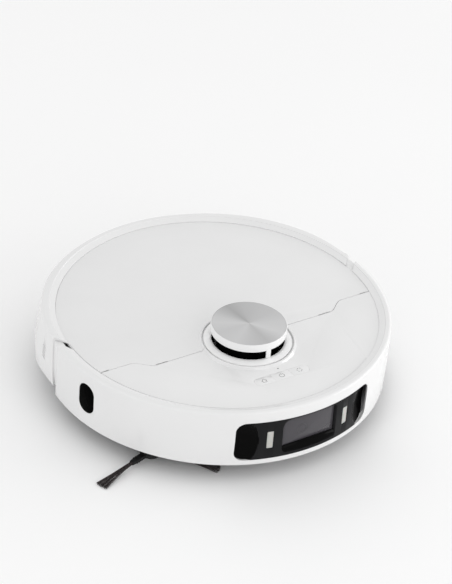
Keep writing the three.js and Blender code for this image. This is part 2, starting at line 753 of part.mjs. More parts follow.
function mainBrush() {
  const axis = [BRUSH_Y, BRUSH_H];
  const clear = BRUSH_R + 1.4;
  const chamberX = [-73.6, 70.8];
  const tunnel = cut(
    box([-78, 72.4], grown(GUARD_Y, -2.4), [FLOOR_TOP, 45]),
    rod(clear, axis, chamberX, "x", 32),
    box(chamberX, grown([BRUSH_Y, BRUSH_Y], clear), [0, BRUSH_H]),
    rod(SHAFT_R + 0.4, axis, [-FAR, FAR], "x", 24),
    box(grown(INLET_X, -2), [BRUSH_Y, 0], [INLET_H[0] + 0.5, 42.5]),
  );
  part("brush_housing", tunnel, "dark_grey");
  const guardX = [-79.6, 79.6];
  const guard = cut(
    box(guardX, GUARD_Y, [PLATE_H, PLATE_H + PLATE_T]),
    box([-73, guardX[1] - 0.6], grown(GUARD_Y, -3.5), [0, FLOOR_TOP]),
  );
  part("brush_guard", guard, "mid_grey");

  // Five soft fins on a core, twisted both ways from the middle.
  const fins = 5;
  const coreR = 12;
  const finEdges = [
    [coreR, -0.16],
    [BRUSH_R, -0.07],
    [BRUSH_R, 0.07],
    [coreR, 0.16],
  ];
  const star = Array.from({ length: fins }, (_, i) =>
    finEdges.map(([r, t]) => polar(r, (2 * Math.PI * (i + t)) / fins)),
  ).flat();
  const length = BRUSH_X[1] - BRUSH_X[0];
  const g = new THREE.ExtrudeGeometry(new THREE.Shape(star), {
    depth: length,
    steps: 10,
    bevelEnabled: false,
  });
  const fullTwist = 1.6;
  const p = g.getAttribute("position");
  for (let i = 0; i < p.count; i += 1) {
    const [u, v, along] = [p.getX(i), p.getY(i), p.getZ(i)];
    const twist = fullTwist * Math.abs(along / length - 0.5);
    const turnedY = u * Math.cos(twist) - v * Math.sin(twist);
    const turnedZ = u * Math.sin(twist) + v * Math.cos(twist);
    p.setXYZ(i, along + BRUSH_X[0], BRUSH_Y + turnedY, BRUSH_H + turnedZ);
  }
  part("main_brush", join(solidOf(g), rod(SHAFT_R, axis, [-77, 73.2], "x", 20)), "dark_grey");

  const pulleyX = [73.5, 77.9];
  part("brush_pulley", rod(BRUSH_PULLEY_R, axis, pulleyX, "x", 32), "mid_grey");
  const foot = box([50, 68], grown([BRUSH_MOTOR[0], BRUSH_MOTOR[0]], 8), [FLOOR_TOP, 24]);
  part("brush_motor", join(rod(11, BRUSH_MOTOR, [38, 70], "x", 28), foot), "steel");
  part("brush_motor_pulley", rod(BRUSH_MOTOR_PULLEY_R, BRUSH_MOTOR, pulleyX, "x", 24), "mid_grey");
  const loop = (play, span) =>
    prism(beltLoop(axis, BRUSH_PULLEY_R, BRUSH_MOTOR, BRUSH_MOTOR_PULLEY_R, play), span, "x");
  part("brush_belt", cut(loop(BELT_T + GAP, grown(pulleyX, -0.5)), loop(GAP, pulleyX)), "rubber");
}

// ---- Side brush ----

function sideBrush() {
  const [x, y] = SIDE_BRUSH;
  const gearbox = join(
    rod(18, SIDE_BRUSH, [FLOOR_TOP, 30], "z", 32),
    box([x + 6, x + 34], [y - 4, y + 14], [FLOOR_TOP, 32]),
  ).intersect(rod(TUB_FOOT_R - 1.5, [0, 0], [0, FAR], "z", BODY_SIDES));
  const bore = rod(SHAFT_R + 0.4, SIDE_BRUSH, [0, 20], "z", 20);
  part("side_brush_gearbox", cut(gearbox, bore), "dark_grey");

  const hub = turned(
    [
      [0, 4],
      [SIDE_BRUSH_HUB_R - 2.5, 4],
      [SIDE_BRUSH_HUB_R, 6],
      [SIDE_BRUSH_HUB_R, 10.4],
      [SHAFT_R, 10.4],
      [SHAFT_R, 18],
      [0, 18],
    ],
    24,
  );
  const sleeveEnd = 34;
  const sleeve = prism(
    [corner(6, -3.6), corner(sleeveEnd, -2.6), corner(sleeveEnd, 2.6), corner(6, 3.6)],
    [4.8, 9.2],
  );
  // A bundle of bristles fans out and droops towards its end.
  const tuft = () => {
    const g = new THREE.BoxGeometry(1, 1, 1, 3, 1, 1);
    const p = g.getAttribute("position");
    for (let i = 0; i < p.count; i += 1) {
      const t = p.getX(i) + 0.5;
      const halfWidth = THREE.MathUtils.lerp(2.2, 6, t * t);
      const halfDepth = THREE.MathUtils.lerp(1.4, 0.9, t);
      const middle = THREE.MathUtils.lerp(7, 2.2, t);
      const r = THREE.MathUtils.lerp(sleeveEnd + GAP, SIDE_BRUSH_REACH, t);
      p.setXYZ(i, r, 2 * p.getY(i) * halfWidth, middle + 2 * p.getZ(i) * halfDepth);
    }
    return solidOf(g);
  };
  const angles = [0, 120, 240].map((a) => SIDE_BRUSH_FIRST + a);
  const sleeves = angles.map((a) => sleeve.rotate([0, 0, a]));
  part("side_brush_hub", join(hub, ...sleeves).translate([x, y, 0]), "rubber");
  angles.forEach((a, i) => {
    part("side_brush_tuft_" + (i + 1), tuft().rotate([0, 0, a]).translate([x, y, 0]), "bristle");
  });
}

// ---- Wheels ----

function gearOutline(teeth, module) {
  const pitch = (teeth * module) / 2;
  const base = pitch * Math.cos(THREE.MathUtils.degToRad(20));
  const backlash = 0.35;
  const involute = (r) => Math.sqrt((r / base) ** 2 - 1) - Math.acos(base / r);
  const halfAtPitch = Math.PI / (2 * teeth) - backlash / (2 * pitch);
  const halfAt = (r) => halfAtPitch + involute(pitch) - involute(Math.max(r, base));
  const root = pitch - module * 1.1;
  const tip = pitch + module * 0.85;
  const flank = [
    [root, halfAt(base)],
    [tip, halfAt(tip)],
  ];
  return Array.from({ length: teeth }, (_, i) => {
    const middle = (2 * Math.PI * i) / teeth;
    const rising = flank.map(([r, half]) => polar(r, middle - half));
    const falling = flank.map(([r, half]) => polar(r, middle + half)).reverse();
    return [...rising, ...falling];
  }).flat();
}

function driveWheel(name, side) {
  const mirror = (solid) => (side < 0 ? solid.mirror([1, 0, 0]) : solid);
  const [inner, outer] = WHEEL_X;
  const axis = [0, WHEEL_R];
  const rimR = 25.4;
  const lugs = 18;
  const treadDepth = 1.8;
  const lugEdges = [
    [WHEEL_R - treadDepth, -0.34],
    [WHEEL_R, -0.26],
    [WHEEL_R, 0.26],
    [WHEEL_R - treadDepth, 0.34],
  ];
  const tread = Array.from({ length: lugs }, (_, i) =>
    lugEdges.map(([r, t]) => polar(r, (2 * Math.PI * (i + t)) / lugs - Math.PI / 2, axis)),
  ).flat();
  const tyre = cut(
    join(
      prism(tread, grown(WHEEL_X, -2), "x"),
      rod(WHEEL_R - treadDepth - 0.6, axis, WHEEL_X, "x", 32),
    ),
    rod(rimR + 0.2, axis, grown(WHEEL_X, 1), "x", 28),
  );
  part("wheel_tyre_" + name, mirror(tyre), "rubber");

  const face = outer - 2;
  const dish = outer - 6;
  const bowl = cut(
    rod(rimR - 0.2, axis, grown(WHEEL_X, -1), "x", 28),
    rod(20, axis, [dish, outer], "x", 24),
  );
  const spokes = Array.from({ length: 6 }, (_, i) =>
    box([dish - 2, face], [8, 21], [-1.6, 1.6])
      .rotate([60 * i, 0, 0])
      .translate([0, 0, WHEEL_R]),
  );
  const axle = rod(AXLE_R, axis, [ARM_X[0] + 5, inner + 2], "x", 16);
  const boss = rod(8.5, axis, [dish - 2, face], "x", 16);
  part("wheel_hub_" + name, mirror(join(bowl, ...spokes, boss, axle)), "mid_grey");

  const along = beltLoop(PIVOT, 9, axis, 18, 0);
  const bearing = rod(AXLE_R + 0.4, axis, [ARM_X[0] + 4, ARM_X[1] + 1], "x", 16);
  const arm = cut(prism(along, ARM_X, "x"), bearing);
  const motor = rod(8, [8, 37], [ARM_X[0] - 0.8, ARM_X[0] + 2], "x", 20);
  const pin = rod(PIN_R, PIVOT, [89.5, ARM_X[0] + 1], "x", 16);
  part("drive_arm_" + name, mirror(join(arm, motor, pin)), "dark_grey");
}

function caster() {
  const wheelY = CASTER_Y + CASTER_TRAIL;
  const axis = [wheelY, CASTER_WHEEL_R];
  const plateR = 15.4;
  const [slot, cheek] = [7.4, 10.4]; // half-widths inside and outside the fork's cheeks
  const clear = CASTER_WHEEL_R + 1.4;
  const fork = cut(
    rod(plateR, [0, CASTER_Y], [9, 25], "z", 32),
    box([-slot, slot], [wheelY - clear, FAR], [0, 25]),
    rod(clear, axis, [-slot, slot], "x", 32),
  );
  const cheeks = [-1, 1].map((side) =>
    box(sided(side, [slot, cheek]), grown([wheelY, wheelY], 5), [7, 20]),
  );
  const top = rod(plateR, [0, CASTER_Y], [24.9, CASTER_PLATE_H], "z", 32);
  const stem = rod(CASTER_STEM_R, [0, CASTER_Y], [26, CASTER_TOWER_H - 0.4], "z", 20);
  const axleR = 2.3;
  const bore = rod(axleR + GAP, axis, [-12, 12], "x", 16);
  part("caster_fork", cut(join(fork, ...cheeks, top, stem), bore), "mid_grey");

  const half = slot - 0.9;
  const wheel = turned(
    [
      [0, -half],
      [CASTER_WHEEL_R - 2, -half],
      [CASTER_WHEEL_R, -half + 2.4],
      [CASTER_WHEEL_R, half - 2.4],
      [CASTER_WHEEL_R - 2, half],
      [0, half],
    ],
    24,
  ).rotate([0, 90, 0]);
  const axle = rod(axleR, [0, 0], [-10, 10], "x", 16);
  part("caster_wheel", join(wheel, axle).translate([0, ...axis]), "black_matte");
}

// ---- Mops: lifting frame, gear train, discs and pads ----

function mops() {
  const [gearLow, gearHigh] = GEAR_H;
  const idlerX = MOP_X / 3;
  const plate = cut(
    box([-96, 96], [60.5, 111.5], MOP_PLATE_H),
    ...MOP_SIDES.map((x) => rod(MOP_SHAFT_R + GAP, [x, MOP_Y], [0, FAR], "z", 24)),
  );
  const pinR = GEAR_BORE_R - GAP;
  const pin = rod(pinR, [idlerX, MOP_Y], [MOP_PLATE_H[0], gearHigh + 1.5], "z", 20);
  part("mop_frame", join(plate, pin), "dark_grey");
  const motorFoot = gearHigh + 1;
  const motor = join(
    rod(10.5, [-idlerX, MOP_Y], [motorFoot, 53], "z", 28),
    rod(pinR, [-idlerX, MOP_Y], [MOP_PLATE_H[1] + GAP, motorFoot + 1], "z", 20),
  );
  part("mop_motor", motor, "steel");

  // With an odd number of teeth, a gear that points a tooth along +X shows its neighbour a gap along -X.
  const gear = prism(gearOutline(GEAR_TEETH, GEAR_MODULE), GEAR_H);
  const idler = cut(gear, rod(GEAR_BORE_R, [0, 0], [0, FAR], "z", 20));
  part("mop_idler_right", idler.translate([-idlerX, MOP_Y, 0]), "mid_grey");
  part("mop_idler_left", idler.translate([idlerX, MOP_Y, 0]), "mid_grey");

  const padTop = 4.3;
  const discH = [padTop + GAP, 8.1];
  ["right", "left"].forEach((name, i) => {
    const x = MOP_SIDES[i];
    const shaft = rod(MOP_SHAFT_R, [0, 0], [discH[1] + GAP, gearHigh], "z", 24);
    part("mop_gear_" + name, join(gear, shaft).translate([x, MOP_Y, 0]), "mid_grey");
    const disc = turned(
      [
        [0, discH[0]],
        [MOP_R - 3, discH[0]],
        [MOP_R - 4, discH[1] - 0.9],
        [0, discH[1]],
      ],
      36,
      x,
      MOP_Y,
    );
    part("mop_disc_" + name, disc, "dark_grey");
    const pad = turned(
      [
        [0, 0],
        [MOP_R - 2, 0],
        [MOP_R, 2],
        [MOP_R - 2, padTop],
        [0, padTop],
      ],
      36,
      x,
      MOP_Y,
    );
    part("mop_pad_" + name, pad, "mop_fabric");
  });
}

part("chassis", chassis(), "dark_grey");
part("front_deck", frontDeck(), "white_gloss");
part("rear_shell", rearShell(), "white_satin");
part("rear_lid", rearLid(), "white_satin");
part("bumper", bumper(), "white_satin");
bumperSensors();
["right", "power", "left"].forEach((name, i) => part("key_" + name, key(i - 1), "white_gloss"));
turret();
dustBin();
suctionFan();
stowage();
mainBrush();
sideBrush();
driveWheel("right", -1);
driveWheel("left", 1);
caster();
mops();

export default robot;
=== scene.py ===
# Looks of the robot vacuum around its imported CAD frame. Shapes are written in millimetres, with heights
# above the floor, and at() places them in the frame's metres. Angles around the body are counted from
# the front, positive towards the robot's left side.
import json
import random
from math import acos, atan2, cos, degrees, exp, hypot, pi, radians, sin, tan

import bmesh
import bpy
from mathutils import Matrix, Vector, noise

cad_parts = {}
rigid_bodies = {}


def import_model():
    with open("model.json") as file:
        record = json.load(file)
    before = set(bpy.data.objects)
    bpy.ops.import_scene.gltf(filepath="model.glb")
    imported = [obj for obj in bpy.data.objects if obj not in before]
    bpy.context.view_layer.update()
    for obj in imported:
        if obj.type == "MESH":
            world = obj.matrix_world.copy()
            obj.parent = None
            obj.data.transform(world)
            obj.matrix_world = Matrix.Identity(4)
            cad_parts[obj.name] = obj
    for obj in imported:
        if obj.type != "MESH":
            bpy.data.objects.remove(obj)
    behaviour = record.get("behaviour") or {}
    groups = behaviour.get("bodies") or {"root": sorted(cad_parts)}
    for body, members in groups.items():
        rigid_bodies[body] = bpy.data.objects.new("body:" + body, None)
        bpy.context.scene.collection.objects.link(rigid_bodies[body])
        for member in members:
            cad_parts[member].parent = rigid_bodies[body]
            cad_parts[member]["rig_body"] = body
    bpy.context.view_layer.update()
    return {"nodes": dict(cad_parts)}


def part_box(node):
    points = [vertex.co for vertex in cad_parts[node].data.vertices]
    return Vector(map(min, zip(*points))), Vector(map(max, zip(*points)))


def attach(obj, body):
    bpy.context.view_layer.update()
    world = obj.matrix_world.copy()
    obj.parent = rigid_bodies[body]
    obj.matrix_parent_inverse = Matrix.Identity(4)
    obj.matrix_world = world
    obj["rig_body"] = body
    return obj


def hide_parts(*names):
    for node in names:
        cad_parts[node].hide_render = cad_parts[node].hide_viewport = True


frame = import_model()

MM = 0.001
SCENE = bpy.context.scene
PLATE_H = -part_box("mop_pad_right")[0].z / MM  # height of the frame's origin above the floor


def at(x, y, h):
    """A point in millimetres, with its height above the floor, in the frame's metres."""
    return Vector((x * MM, y * MM, (h - PLATE_H) * MM))


def spans(node):
    """A CAD node's spans along x, y and height, in millimetres above the floor."""
    low, high = (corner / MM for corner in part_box(node))
    return (low.x, high.x), (low.y, high.y), (low.z + PLATE_H, high.z + PLATE_H)


def middle(span):
    return (span[0] + span[1]) / 2


# ---- Driving dimensions ----

BODY_R = 175.0
SKIN = 2.3
RIM_H = spans("bumper")[2][1]
DECK_H = spans("key_power")[2][1]
DECK_PLATE_H = spans("front_deck")[2][0]
DECK_R = spans("front_deck")[0][1]
TUB_R = 164.0
TUB_TOP = spans("chassis")[2][1]
SEAM_MID_Y, SEAM_SIDE_Y = -51.0, -38.0  # the line between deck and lid, beside the turret and at the rim
SEAM_JOG = (102.0, 124.0)  # where that line steps back, across the body
SEAM_GAP = 0.6
TURRET_Y = middle(spans("lidar_cap")[1])
TURRET_R = (spans("lidar_cap")[0][1] - spans("lidar_cap")[0][0]) / 2
TURRET_TOP = spans("lidar_cap")[2][1]
WELL_R = 45.5
WELL_LIP_H = spans("rear_lid")[2][1]
LIP_R, RIM_LIP_H = 162.7, 81.5  # inner edge of the rim
PLATE_R = 162.5  # outer edge of the lid
SILL_H, BROW_H = 84.9, 94.2  # of the turret's slot
WINDOW_HALF = 26.2  # degrees
WINDOW_TURN = 0.9  # the window sits a little towards the left side
WINDOW_H = (25.8, 71.6)
WINDOW_ROUND = 10  # radius of its corners
BAND_R = 173.6
LAMP_ANGLE, LAMP_H = 14.6, 48
SCOOP_ANGLE = 25.5
PILL_ANGLE, PILL_H = -78.1, 53.1
KEY_Y = middle(spans("key_power")[1])
KEY_PITCH, KEY_DEPTH = 20.5, 11.6
SIDE_BRUSH = (-125.0, -87.0)
ARM_ANGLES = (196.0, 316.0, 76.0)
CASTER_Y, CASTER_TRAIL = -137.0, 6
MOP_Y = middle(spans("mop_disc_right")[1])
MOP_X = middle(spans("mop_disc_left")[0])
BRUSH_Y, BRUSH_H = -45.0, 21.0
BASE_H = 11  # the underside plate
ROUND_STEPS = 320  # around the body
ROUND_TURRET = 160

# Spans of tools that pass right through the deck, the wall, or the front of the body
DECK_CUT = (70, 90)
WALL_CUT = (-200, -150)
FRONT_CUT = (-200, -120)


# ---- Mesh helpers ----

WELD = 2e-7  # metres


def linked(name, data):
    made = bpy.data.objects.new(name, data)
    SCENE.collection.objects.link(made)
    return made


def piece_from(name, bm):
    """A mesh object made of a bmesh, which is freed."""
    mesh = bpy.data.meshes.new(name)
    bm.to_mesh(mesh)
    bm.free()
    return linked(name, mesh)


def build(name, points, faces):
    """A closed mesh from points in millimetres and faces, welded, facing outwards."""
    mesh = bpy.data.meshes.new(name)
    mesh.from_pydata([at(*p) for p in points], [], faces)
    bm = bmesh.new()
    bm.from_mesh(mesh)
    bpy.data.meshes.remove(mesh)
    bmesh.ops.remove_doubles(bm, verts=bm.verts, dist=WELD)
    bmesh.ops.recalc_face_normals(bm, faces=bm.faces)
    return piece_from(name, bm)


def eased(value, low, high):
    """Rises smoothly from 0 at low to 1 at high."""
    t = min(1, max(0, (value - low) / (high - low)))
    return t * t * (3 - 2 * t)


def rounded(corners, steps=5):
    """A closed outline; a corner (u, v, radius) is rounded."""
    out = []
    for i, corner in enumerate(corners):
        here = Vector(corner[:2])
        if len(corner) < 3:
            out.append(tuple(here))
            continue
        back = Vector(corners[i - 1][:2]) - here
        on = Vector(corners[(i + 1) % len(corners)][:2]) - here
        half = back.angle(on) / 2
        reach = min(corner[2] / tan(half), 0.49 * back.length, 0.49 * on.length)
        radius = reach * tan(half)
        back.normalize()
        on.normalize()
        centre = here + (back + on).normalized() * radius / sin(half)
        first, last = here + back * reach - centre, here + on * reach - centre
        start = atan2(first.y, first.x)
        swing = (atan2(last.y, last.x) - start + pi) % (2 * pi) - pi
        for k in range(steps + 1):
            t = start + swing * k / steps
            out.append((centre.x + radius * cos(t), centre.y + radius * sin(t)))
    return out


def oblong(width, height, radius, centre=(0, 0), steps=8):
    u, v = centre
    w, h = width / 2, height / 2
    corners = [(u + w, v - h), (u + w, v + h), (u - w, v + h), (u - w, v - h)]
    return rounded([(*c, radius) for c in corners], steps)


def disc(radius, centre=(0, 0), sides=64):
    turn = [2 * pi * i / sides for i in range(sides)]
    return [(centre[0] + radius * cos(t), centre[1] + radius * sin(t)) for t in turn]


def wall_point(radius, angle, centre=(0, 0)):
    t = radians(angle)
    return centre[0] + radius * sin(t), centre[1] - radius * cos(t)


def turned(name, outline, start=None, end=None, centre=(0, 0), steps=ROUND_STEPS):
    """A (radius, height) outline turned around a vertical line. start and end give the angle at a height."""
    full = start is None
    count = steps if full else max(2, round(steps * (end(0) - start(0)) / 360))
    rows = count if full else count + 1
    points = []
    for i in range(rows):
        t = i / count
        for r, h in outline:
            angle = 360 * t if full else start(h) + (end(h) - start(h)) * t
            points.append((*wall_point(r, angle, centre), h))
    m = len(outline)
    faces = []
    for i in range(count):
        j = (i + 1) % rows
        for k in range(m):
            n = (k + 1) % m
            faces.append((i * m + k, j * m + k, j * m + n, i * m + n))
    if not full:
        faces += [tuple(range(m)), tuple(range(count * m, count * m + m))]
    return build(name, points, faces)


AXES = {
    "z": lambda u, v, w: (u, v, w),
    "x": lambda u, v, w: (w, u, v),
    "y": lambda u, v, w: (u, w, v),
}


def lofted(name, outlines, axis="z"):
    """A solid through several (outline, level) sections that have the same number of points."""
    place = AXES[axis]
    m = len(outlines[0][0])
    points = [place(u, v, w) for outline, w in outlines for u, v in outline]
    faces = [tuple(range(m)), tuple(range((len(outlines) - 1) * m, len(outlines) * m))]
    for i in range(len(outlines) - 1):
        for k in range(m):
            n = (k + 1) % m
            faces.append((i * m + k, i * m + n, (i + 1) * m + n, (i + 1) * m + k))
    return build(name, points, faces)


def prism(name, outline, span, axis="z"):
    return lofted(name, [(outline, span[0]), (outline, span[1])], axis)


def rod(name, radius, centre, span, axis="z", sides=48):
    return prism(name, disc(radius, centre, sides), span, axis)


def box(name, x, y, h):
    return prism(name, [(x[0], y[0]), (x[1], y[0]), (x[1], y[1]), (x[0], y[1])], h)


def facing(name, outline, depth, angle):
    """An outline seen from outside, pushed through a span of depth, and turned to its place in the wall."""
    return spun(prism(name, outline, depth, "y"), angle)


def banded(name, outline, start, end, side=1, **more):
    """A (radius, height) outline turned from one angle to another, on the left (1) or the right (-1)."""
    first, last = sorted((side * start, side * end))
    return turned(name, outline, lambda h: first, lambda h: last, **more)


def applied(piece):
    """The piece's modifiers made part of its mesh."""
    bpy.context.view_layer.update()
    shown = piece.evaluated_get(bpy.context.evaluated_depsgraph_get())
    mesh = bpy.data.meshes.new_from_object(shown)
    piece.modifiers.clear()
    old = piece.data
    piece.data = mesh
    bpy.data.meshes.remove(old)
    return piece


def boolean(piece, how, tools):
    for tool in tools:
        step = piece.modifiers.new("cut", "BOOLEAN")
        step.operation = how
        step.solver = "EXACT"
        step.object = tool
    applied(piece)
    for tool in tools:
        bpy.data.meshes.remove(tool.data)
    return piece


def cut(piece, *tools):
    return boolean(piece, "DIFFERENCE", tools)


def joined(piece, *tools):
    return boolean(piece, "UNION", tools)


def common(piece, *tools):
    return boolean(piece, "INTERSECT", tools)


def merged(name, pieces):
    """Several loose bodies in one mesh object."""
    bm = bmesh.new()
    for piece in pieces:
        bm.from_mesh(piece.data)
        bpy.data.meshes.remove(piece.data)
    return piece_from(name, bm)


def spun(piece, angle):
    """The piece turned about the body's axis, counter-clockwise from above."""
    piece.data.transform(Matrix.Rotation(radians(angle), 4, "Z"))
    return piece


def softened(piece, width, segments=3, angle=35):
    edge = piece.modifiers.new("edges", "BEVEL")
    edge.width = width * MM
    edge.segments = segments
    edge.limit_method = "ANGLE"
    edge.angle_limit = radians(angle)
    edge.miter_outer = "MITER_ARC"
    return applied(piece)


def placed(piece, material, body, slot=None, replaced=(), sharp=32):
    """Gives a finished piece its material, its shading and its body, and hides the CAD nodes it stands for.
    """
    piece.data.materials.clear()
    piece.data.materials.append(material)
    for face in piece.data.polygons:
        face.use_smooth = True
    piece.data.set_sharp_from_angle(angle=radians(sharp))
    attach(piece, body)
    if replaced:
        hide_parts(*replaced)
    return piece


# ---- Materials ----

def grey(level):
    return (level, level, level)


def filled(made, **sockets):
    """Gives a node's sockets their constants and their links."""
    for socket, value in sockets.items():
        target = made.inputs[socket.replace("_", " ")]
        if isinstance(value, bpy.types.NodeSocket):
            made.id_data.links.new(value, target)
        else:
            target.default_value = value
    return made


def added(tree, kind, **sockets):
    return filled(tree.nodes.new("ShaderNode" + kind), **sockets)


def texture(tree, size, detail=2.0, kind="TexNoise"):
    """A noise or cell texture in the piece's own space, with features of about size millimetres."""
    where = added(tree, "TexCoord").outputs["Object"]
    made = added(tree, kind, Vector=where, Scale=1 / (size * MM), Detail=detail)
    return made.outputs["Distance" if kind == "TexVoronoi" else 0]


def ranged(value, low, high, source=(0.3, 0.7)):
    made = added(value.id_data, "MapRange", Value=value, From_Min=source[0], From_Max=source[1],
                 To_Min=low, To_Max=high)
    return made.outputs["Result"]


def ramped(value, stops):
    made = added(value.id_data, "ValToRGB", Fac=value)
    elements = made.color_ramp.elements
    for i, (place, colour) in enumerate(stops):
        element = elements[i] if i < 2 else elements.new(place)
        element.position = place
        element.color = (*colour, 1)
    return made.outputs["Color"]


def relief(shader, *layers):
    """Stacks bump layers of (height value, depth in millimetres)."""
    below = {}
    for value, depth in layers:
        bump = added(shader.id_data, "Bump", Strength=1, Distance=depth * MM, Height=value, **below)
        below = {"Normal": bump.outputs["Normal"]}
    filled(shader, **below)


def material(name, shine=0.5, **sockets):
    """A material with its node tree and its shader. shine is the level of reflection."""
    made = bpy.data.materials.new(name)
    made.use_nodes = True
    tree = made.node_tree
    return made, tree, filled(tree.nodes["Principled BSDF"], Specular_IOR_Level=shine, **sockets)


def moulded(name, colour, rough, drift=0.03, drift_size=45, swing=0.04, grain=(0.5, 0.01), wave=0.0,
            metal=0.0, **sockets):
    """Moulded plastic or rubber, or cast metal: slow drift of colour and gloss, and a grain in relief of
    some size and depth, in millimetres."""
    made, tree, shader = material(name, Metallic=metal, **sockets)
    pale = tuple(min(1, c * (1 + drift)) for c in colour)
    deep = tuple(c * (1 - drift) for c in colour)
    tint = ramped(texture(tree, drift_size, 3), [(0.3, deep), (0.7, pale)])
    gloss = ranged(texture(tree, drift_size / 3, 4), max(0.02, rough - swing), rough + swing)
    filled(shader, Base_Color=tint, Roughness=gloss)
    layers = [(texture(tree, grain[0], 2), grain[1])]
    if wave:
        layers.append((texture(tree, 60, 1), wave))
    relief(shader, *layers)
    return made


WHITE = {"drift": 0.008, "swing": 0.03}
white_gloss = moulded(
    "white_gloss_lacquer", grey(0.80), 0.07, drift=0.008, swing=0.015, grain=(3, 0.002), wave=0.05,
    Coat_Weight=0.4, Coat_Roughness=0.04)
white_satin = moulded("white_satin_plastic", grey(0.79), 0.34, grain=(0.7, 0.006), **WHITE)
# Painted light: the white plastic made brighter for the turret's cap and base, standing in for the light on
# their upright faces.
white_lit_turret = moulded("white_turret_painted_light", grey(0.89), 0.3, grain=(0.7, 0.006), **WHITE)
white_wall = moulded("white_moulded_casing", grey(0.79), 0.22, grain=(1.2, 0.003), wave=0.02, **WHITE)
black_gloss = moulded(
    "black_gloss_plastic", grey(0.0022), 0.1, drift=0.15, swing=0.02, grain=(2, 0.002), IOR=1.12)
black_glass = moulded(
    "black_sensor_glass", grey(0.0012), 0.06, drift=0.15, swing=0.02, grain=(2, 0.001), IOR=1.05)
black_satin = moulded(
    "black_satin_plastic", (0.0085, 0.0085, 0.0094), 0.4, drift=0.1, swing=0.05, grain=(0.5, 0.006),
    shine=0.12)
black_matte = moulded("black_matte_plastic", grey(0.008), 0.6, drift=0.15, grain=(0.5, 0.02), shine=0.2)
# Painted shade: a near-absorbing black, darker than the black plastics, for the sheet that lines the
# turret's slot.
painted_shade_black = moulded("painted_shade_black_lining", grey(0.0012), 0.9, drift=0.3, swing=0.05, shine=0.02)
dark_grey = moulded("dark_grey_plastic", (0.040, 0.041, 0.044), 0.5, drift=0.08, grain=(0.6, 0.02))
mid_grey = moulded("mid_grey_plastic", (0.24, 0.245, 0.25), 0.45, drift=0.05, grain=(0.5, 0.015))
rubber = moulded("black_rubber", grey(0.009), 0.62, drift=0.2, swing=0.08, grain=(0.4, 0.03), shine=0.3)
tyre_rubber = moulded("tyre_rubber", grey(0.016), 0.78, drift=0.2, swing=0.08, grain=(0.9, 0.06), shine=0.3)
steel = moulded("zinc_plated_steel", grey(0.52), 0.3, drift=0.06, drift_size=8, swing=0.08, metal=1.0)
board_green = moulded("solder_mask", (0.012, 0.09, 0.045), 0.35, drift=0.15, drift_size=6)
wrap_blue = moulded("battery_wrap", (0.02, 0.07, 0.22), 0.3, drift=0.08, wave=0.15)
paper = moulded("pleated_paper", (0.70, 0.67, 0.58), 0.9, drift=0.06, drift_size=5, grain=(0.2, 0.05))
print_grey = moulded("grey_print", grey(0.15), 0.5, drift=0.1, drift_size=3, grain=(0.2, 0.004))
lamp_cover = moulded(
    "frosted_lamp_cover", (0.50, 0.495, 0.47), 0.42, drift=0.05, drift_size=6, swing=0.05, grain=(0.35,
    0.02), Subsurface_Weight=0.15, Subsurface_Scale=0.002)
smoke = moulded("smoked_clear_plastic", (0.10, 0.105, 0.11), 0.12, drift=0.06, Alpha=0.6)
pane_glass = moulded(
    "tinted_pane", (0.068, 0.064, 0.072), 0.05, drift=0.04, swing=0.01, grain=(4, 0.001), Alpha=0.9,
    shine=0.4)
lens_glass = moulded("lens_glass", (0.01, 0.012, 0.02), 0.03, drift=0.2, swing=0.01, grain=(3, 0.001))


def spun_aluminium():
    made, tree, shader = material("spun_aluminium", Metallic=1.0, Anisotropic=0.75)
    where = added(tree, "TexCoord").outputs["Object"]
    where = added(tree, "Mapping", Vector=where, Location=-at(0, TURRET_Y, PLATE_H)).outputs["Vector"]
    rings = added(tree, "TexWave", Vector=where, Scale=900, Distortion=1.2, Detail=2)
    rings.wave_type = "RINGS"
    rings.rings_direction = "Z"
    fan = added(tree, "TexGradient", Vector=where)
    fan.gradient_type = "RADIAL"
    # Painted reflection: the base colour is lighter and darker in sectors around the disc, standing in for
    # the radial highlights of the spun finish.
    painted_highlight_sectors = [(0.0, 0.61), (0.10, 0.63), (0.18, 0.57), (0.25, 0.53), (0.35, 0.69), (0.44, 0.65),
               (0.54, 0.56), (0.63, 0.53), (0.70, 0.51), (0.77, 0.44), (0.87, 0.63), (0.92, 0.67),
               (1.0, 0.61)]
    tint = ramped(fan.outputs["Color"], [(t, (v, v, v * 1.005)) for t, v in painted_highlight_sectors])
    gloss = ranged(rings.outputs["Fac"], 0.30, 0.40, (0, 1))
    tangent = added(tree, "Tangent")
    tangent.direction_type = "RADIAL"
    tangent.axis = "Z"
    filled(shader, Base_Color=tint, Roughness=gloss, Tangent=tangent.outputs["Tangent"])
    relief(shader, (rings.outputs["Fac"], 0.004))
    return made


def bristle_material():
    made, tree, shader = material("nylon_bristle", 0.3, Roughness=0.5)
    stops = [(0.3, (0.012, 0.009, 0.009)), (0.55, (0.034, 0.026, 0.026)), (0.75, (0.10, 0.09, 0.09))]
    filled(shader, Base_Color=ramped(texture(tree, 1.2, 2), stops))
    relief(shader, (texture(tree, 0.3, 1), 0.01))
    return made


def mop_material():
    made, tree, shader = material("microfibre_mop", 0.1, Sheen_Weight=0.35, Sheen_Roughness=0.5)
    stops = [(0.25, (0.10, 0.11, 0.12)), (0.5, (0.21, 0.225, 0.24)), (0.8, (0.36, 0.375, 0.39))]
    filled(shader, Base_Color=ramped(texture(tree, 1.6, 3), stops),
           Roughness=ranged(texture(tree, 6), 0.85, 1.0))
    cells = texture(tree, 1.1, kind="TexVoronoi")
    relief(shader, (cells, 0.5), (texture(tree, 0.35, 3), 0.2))
    return made


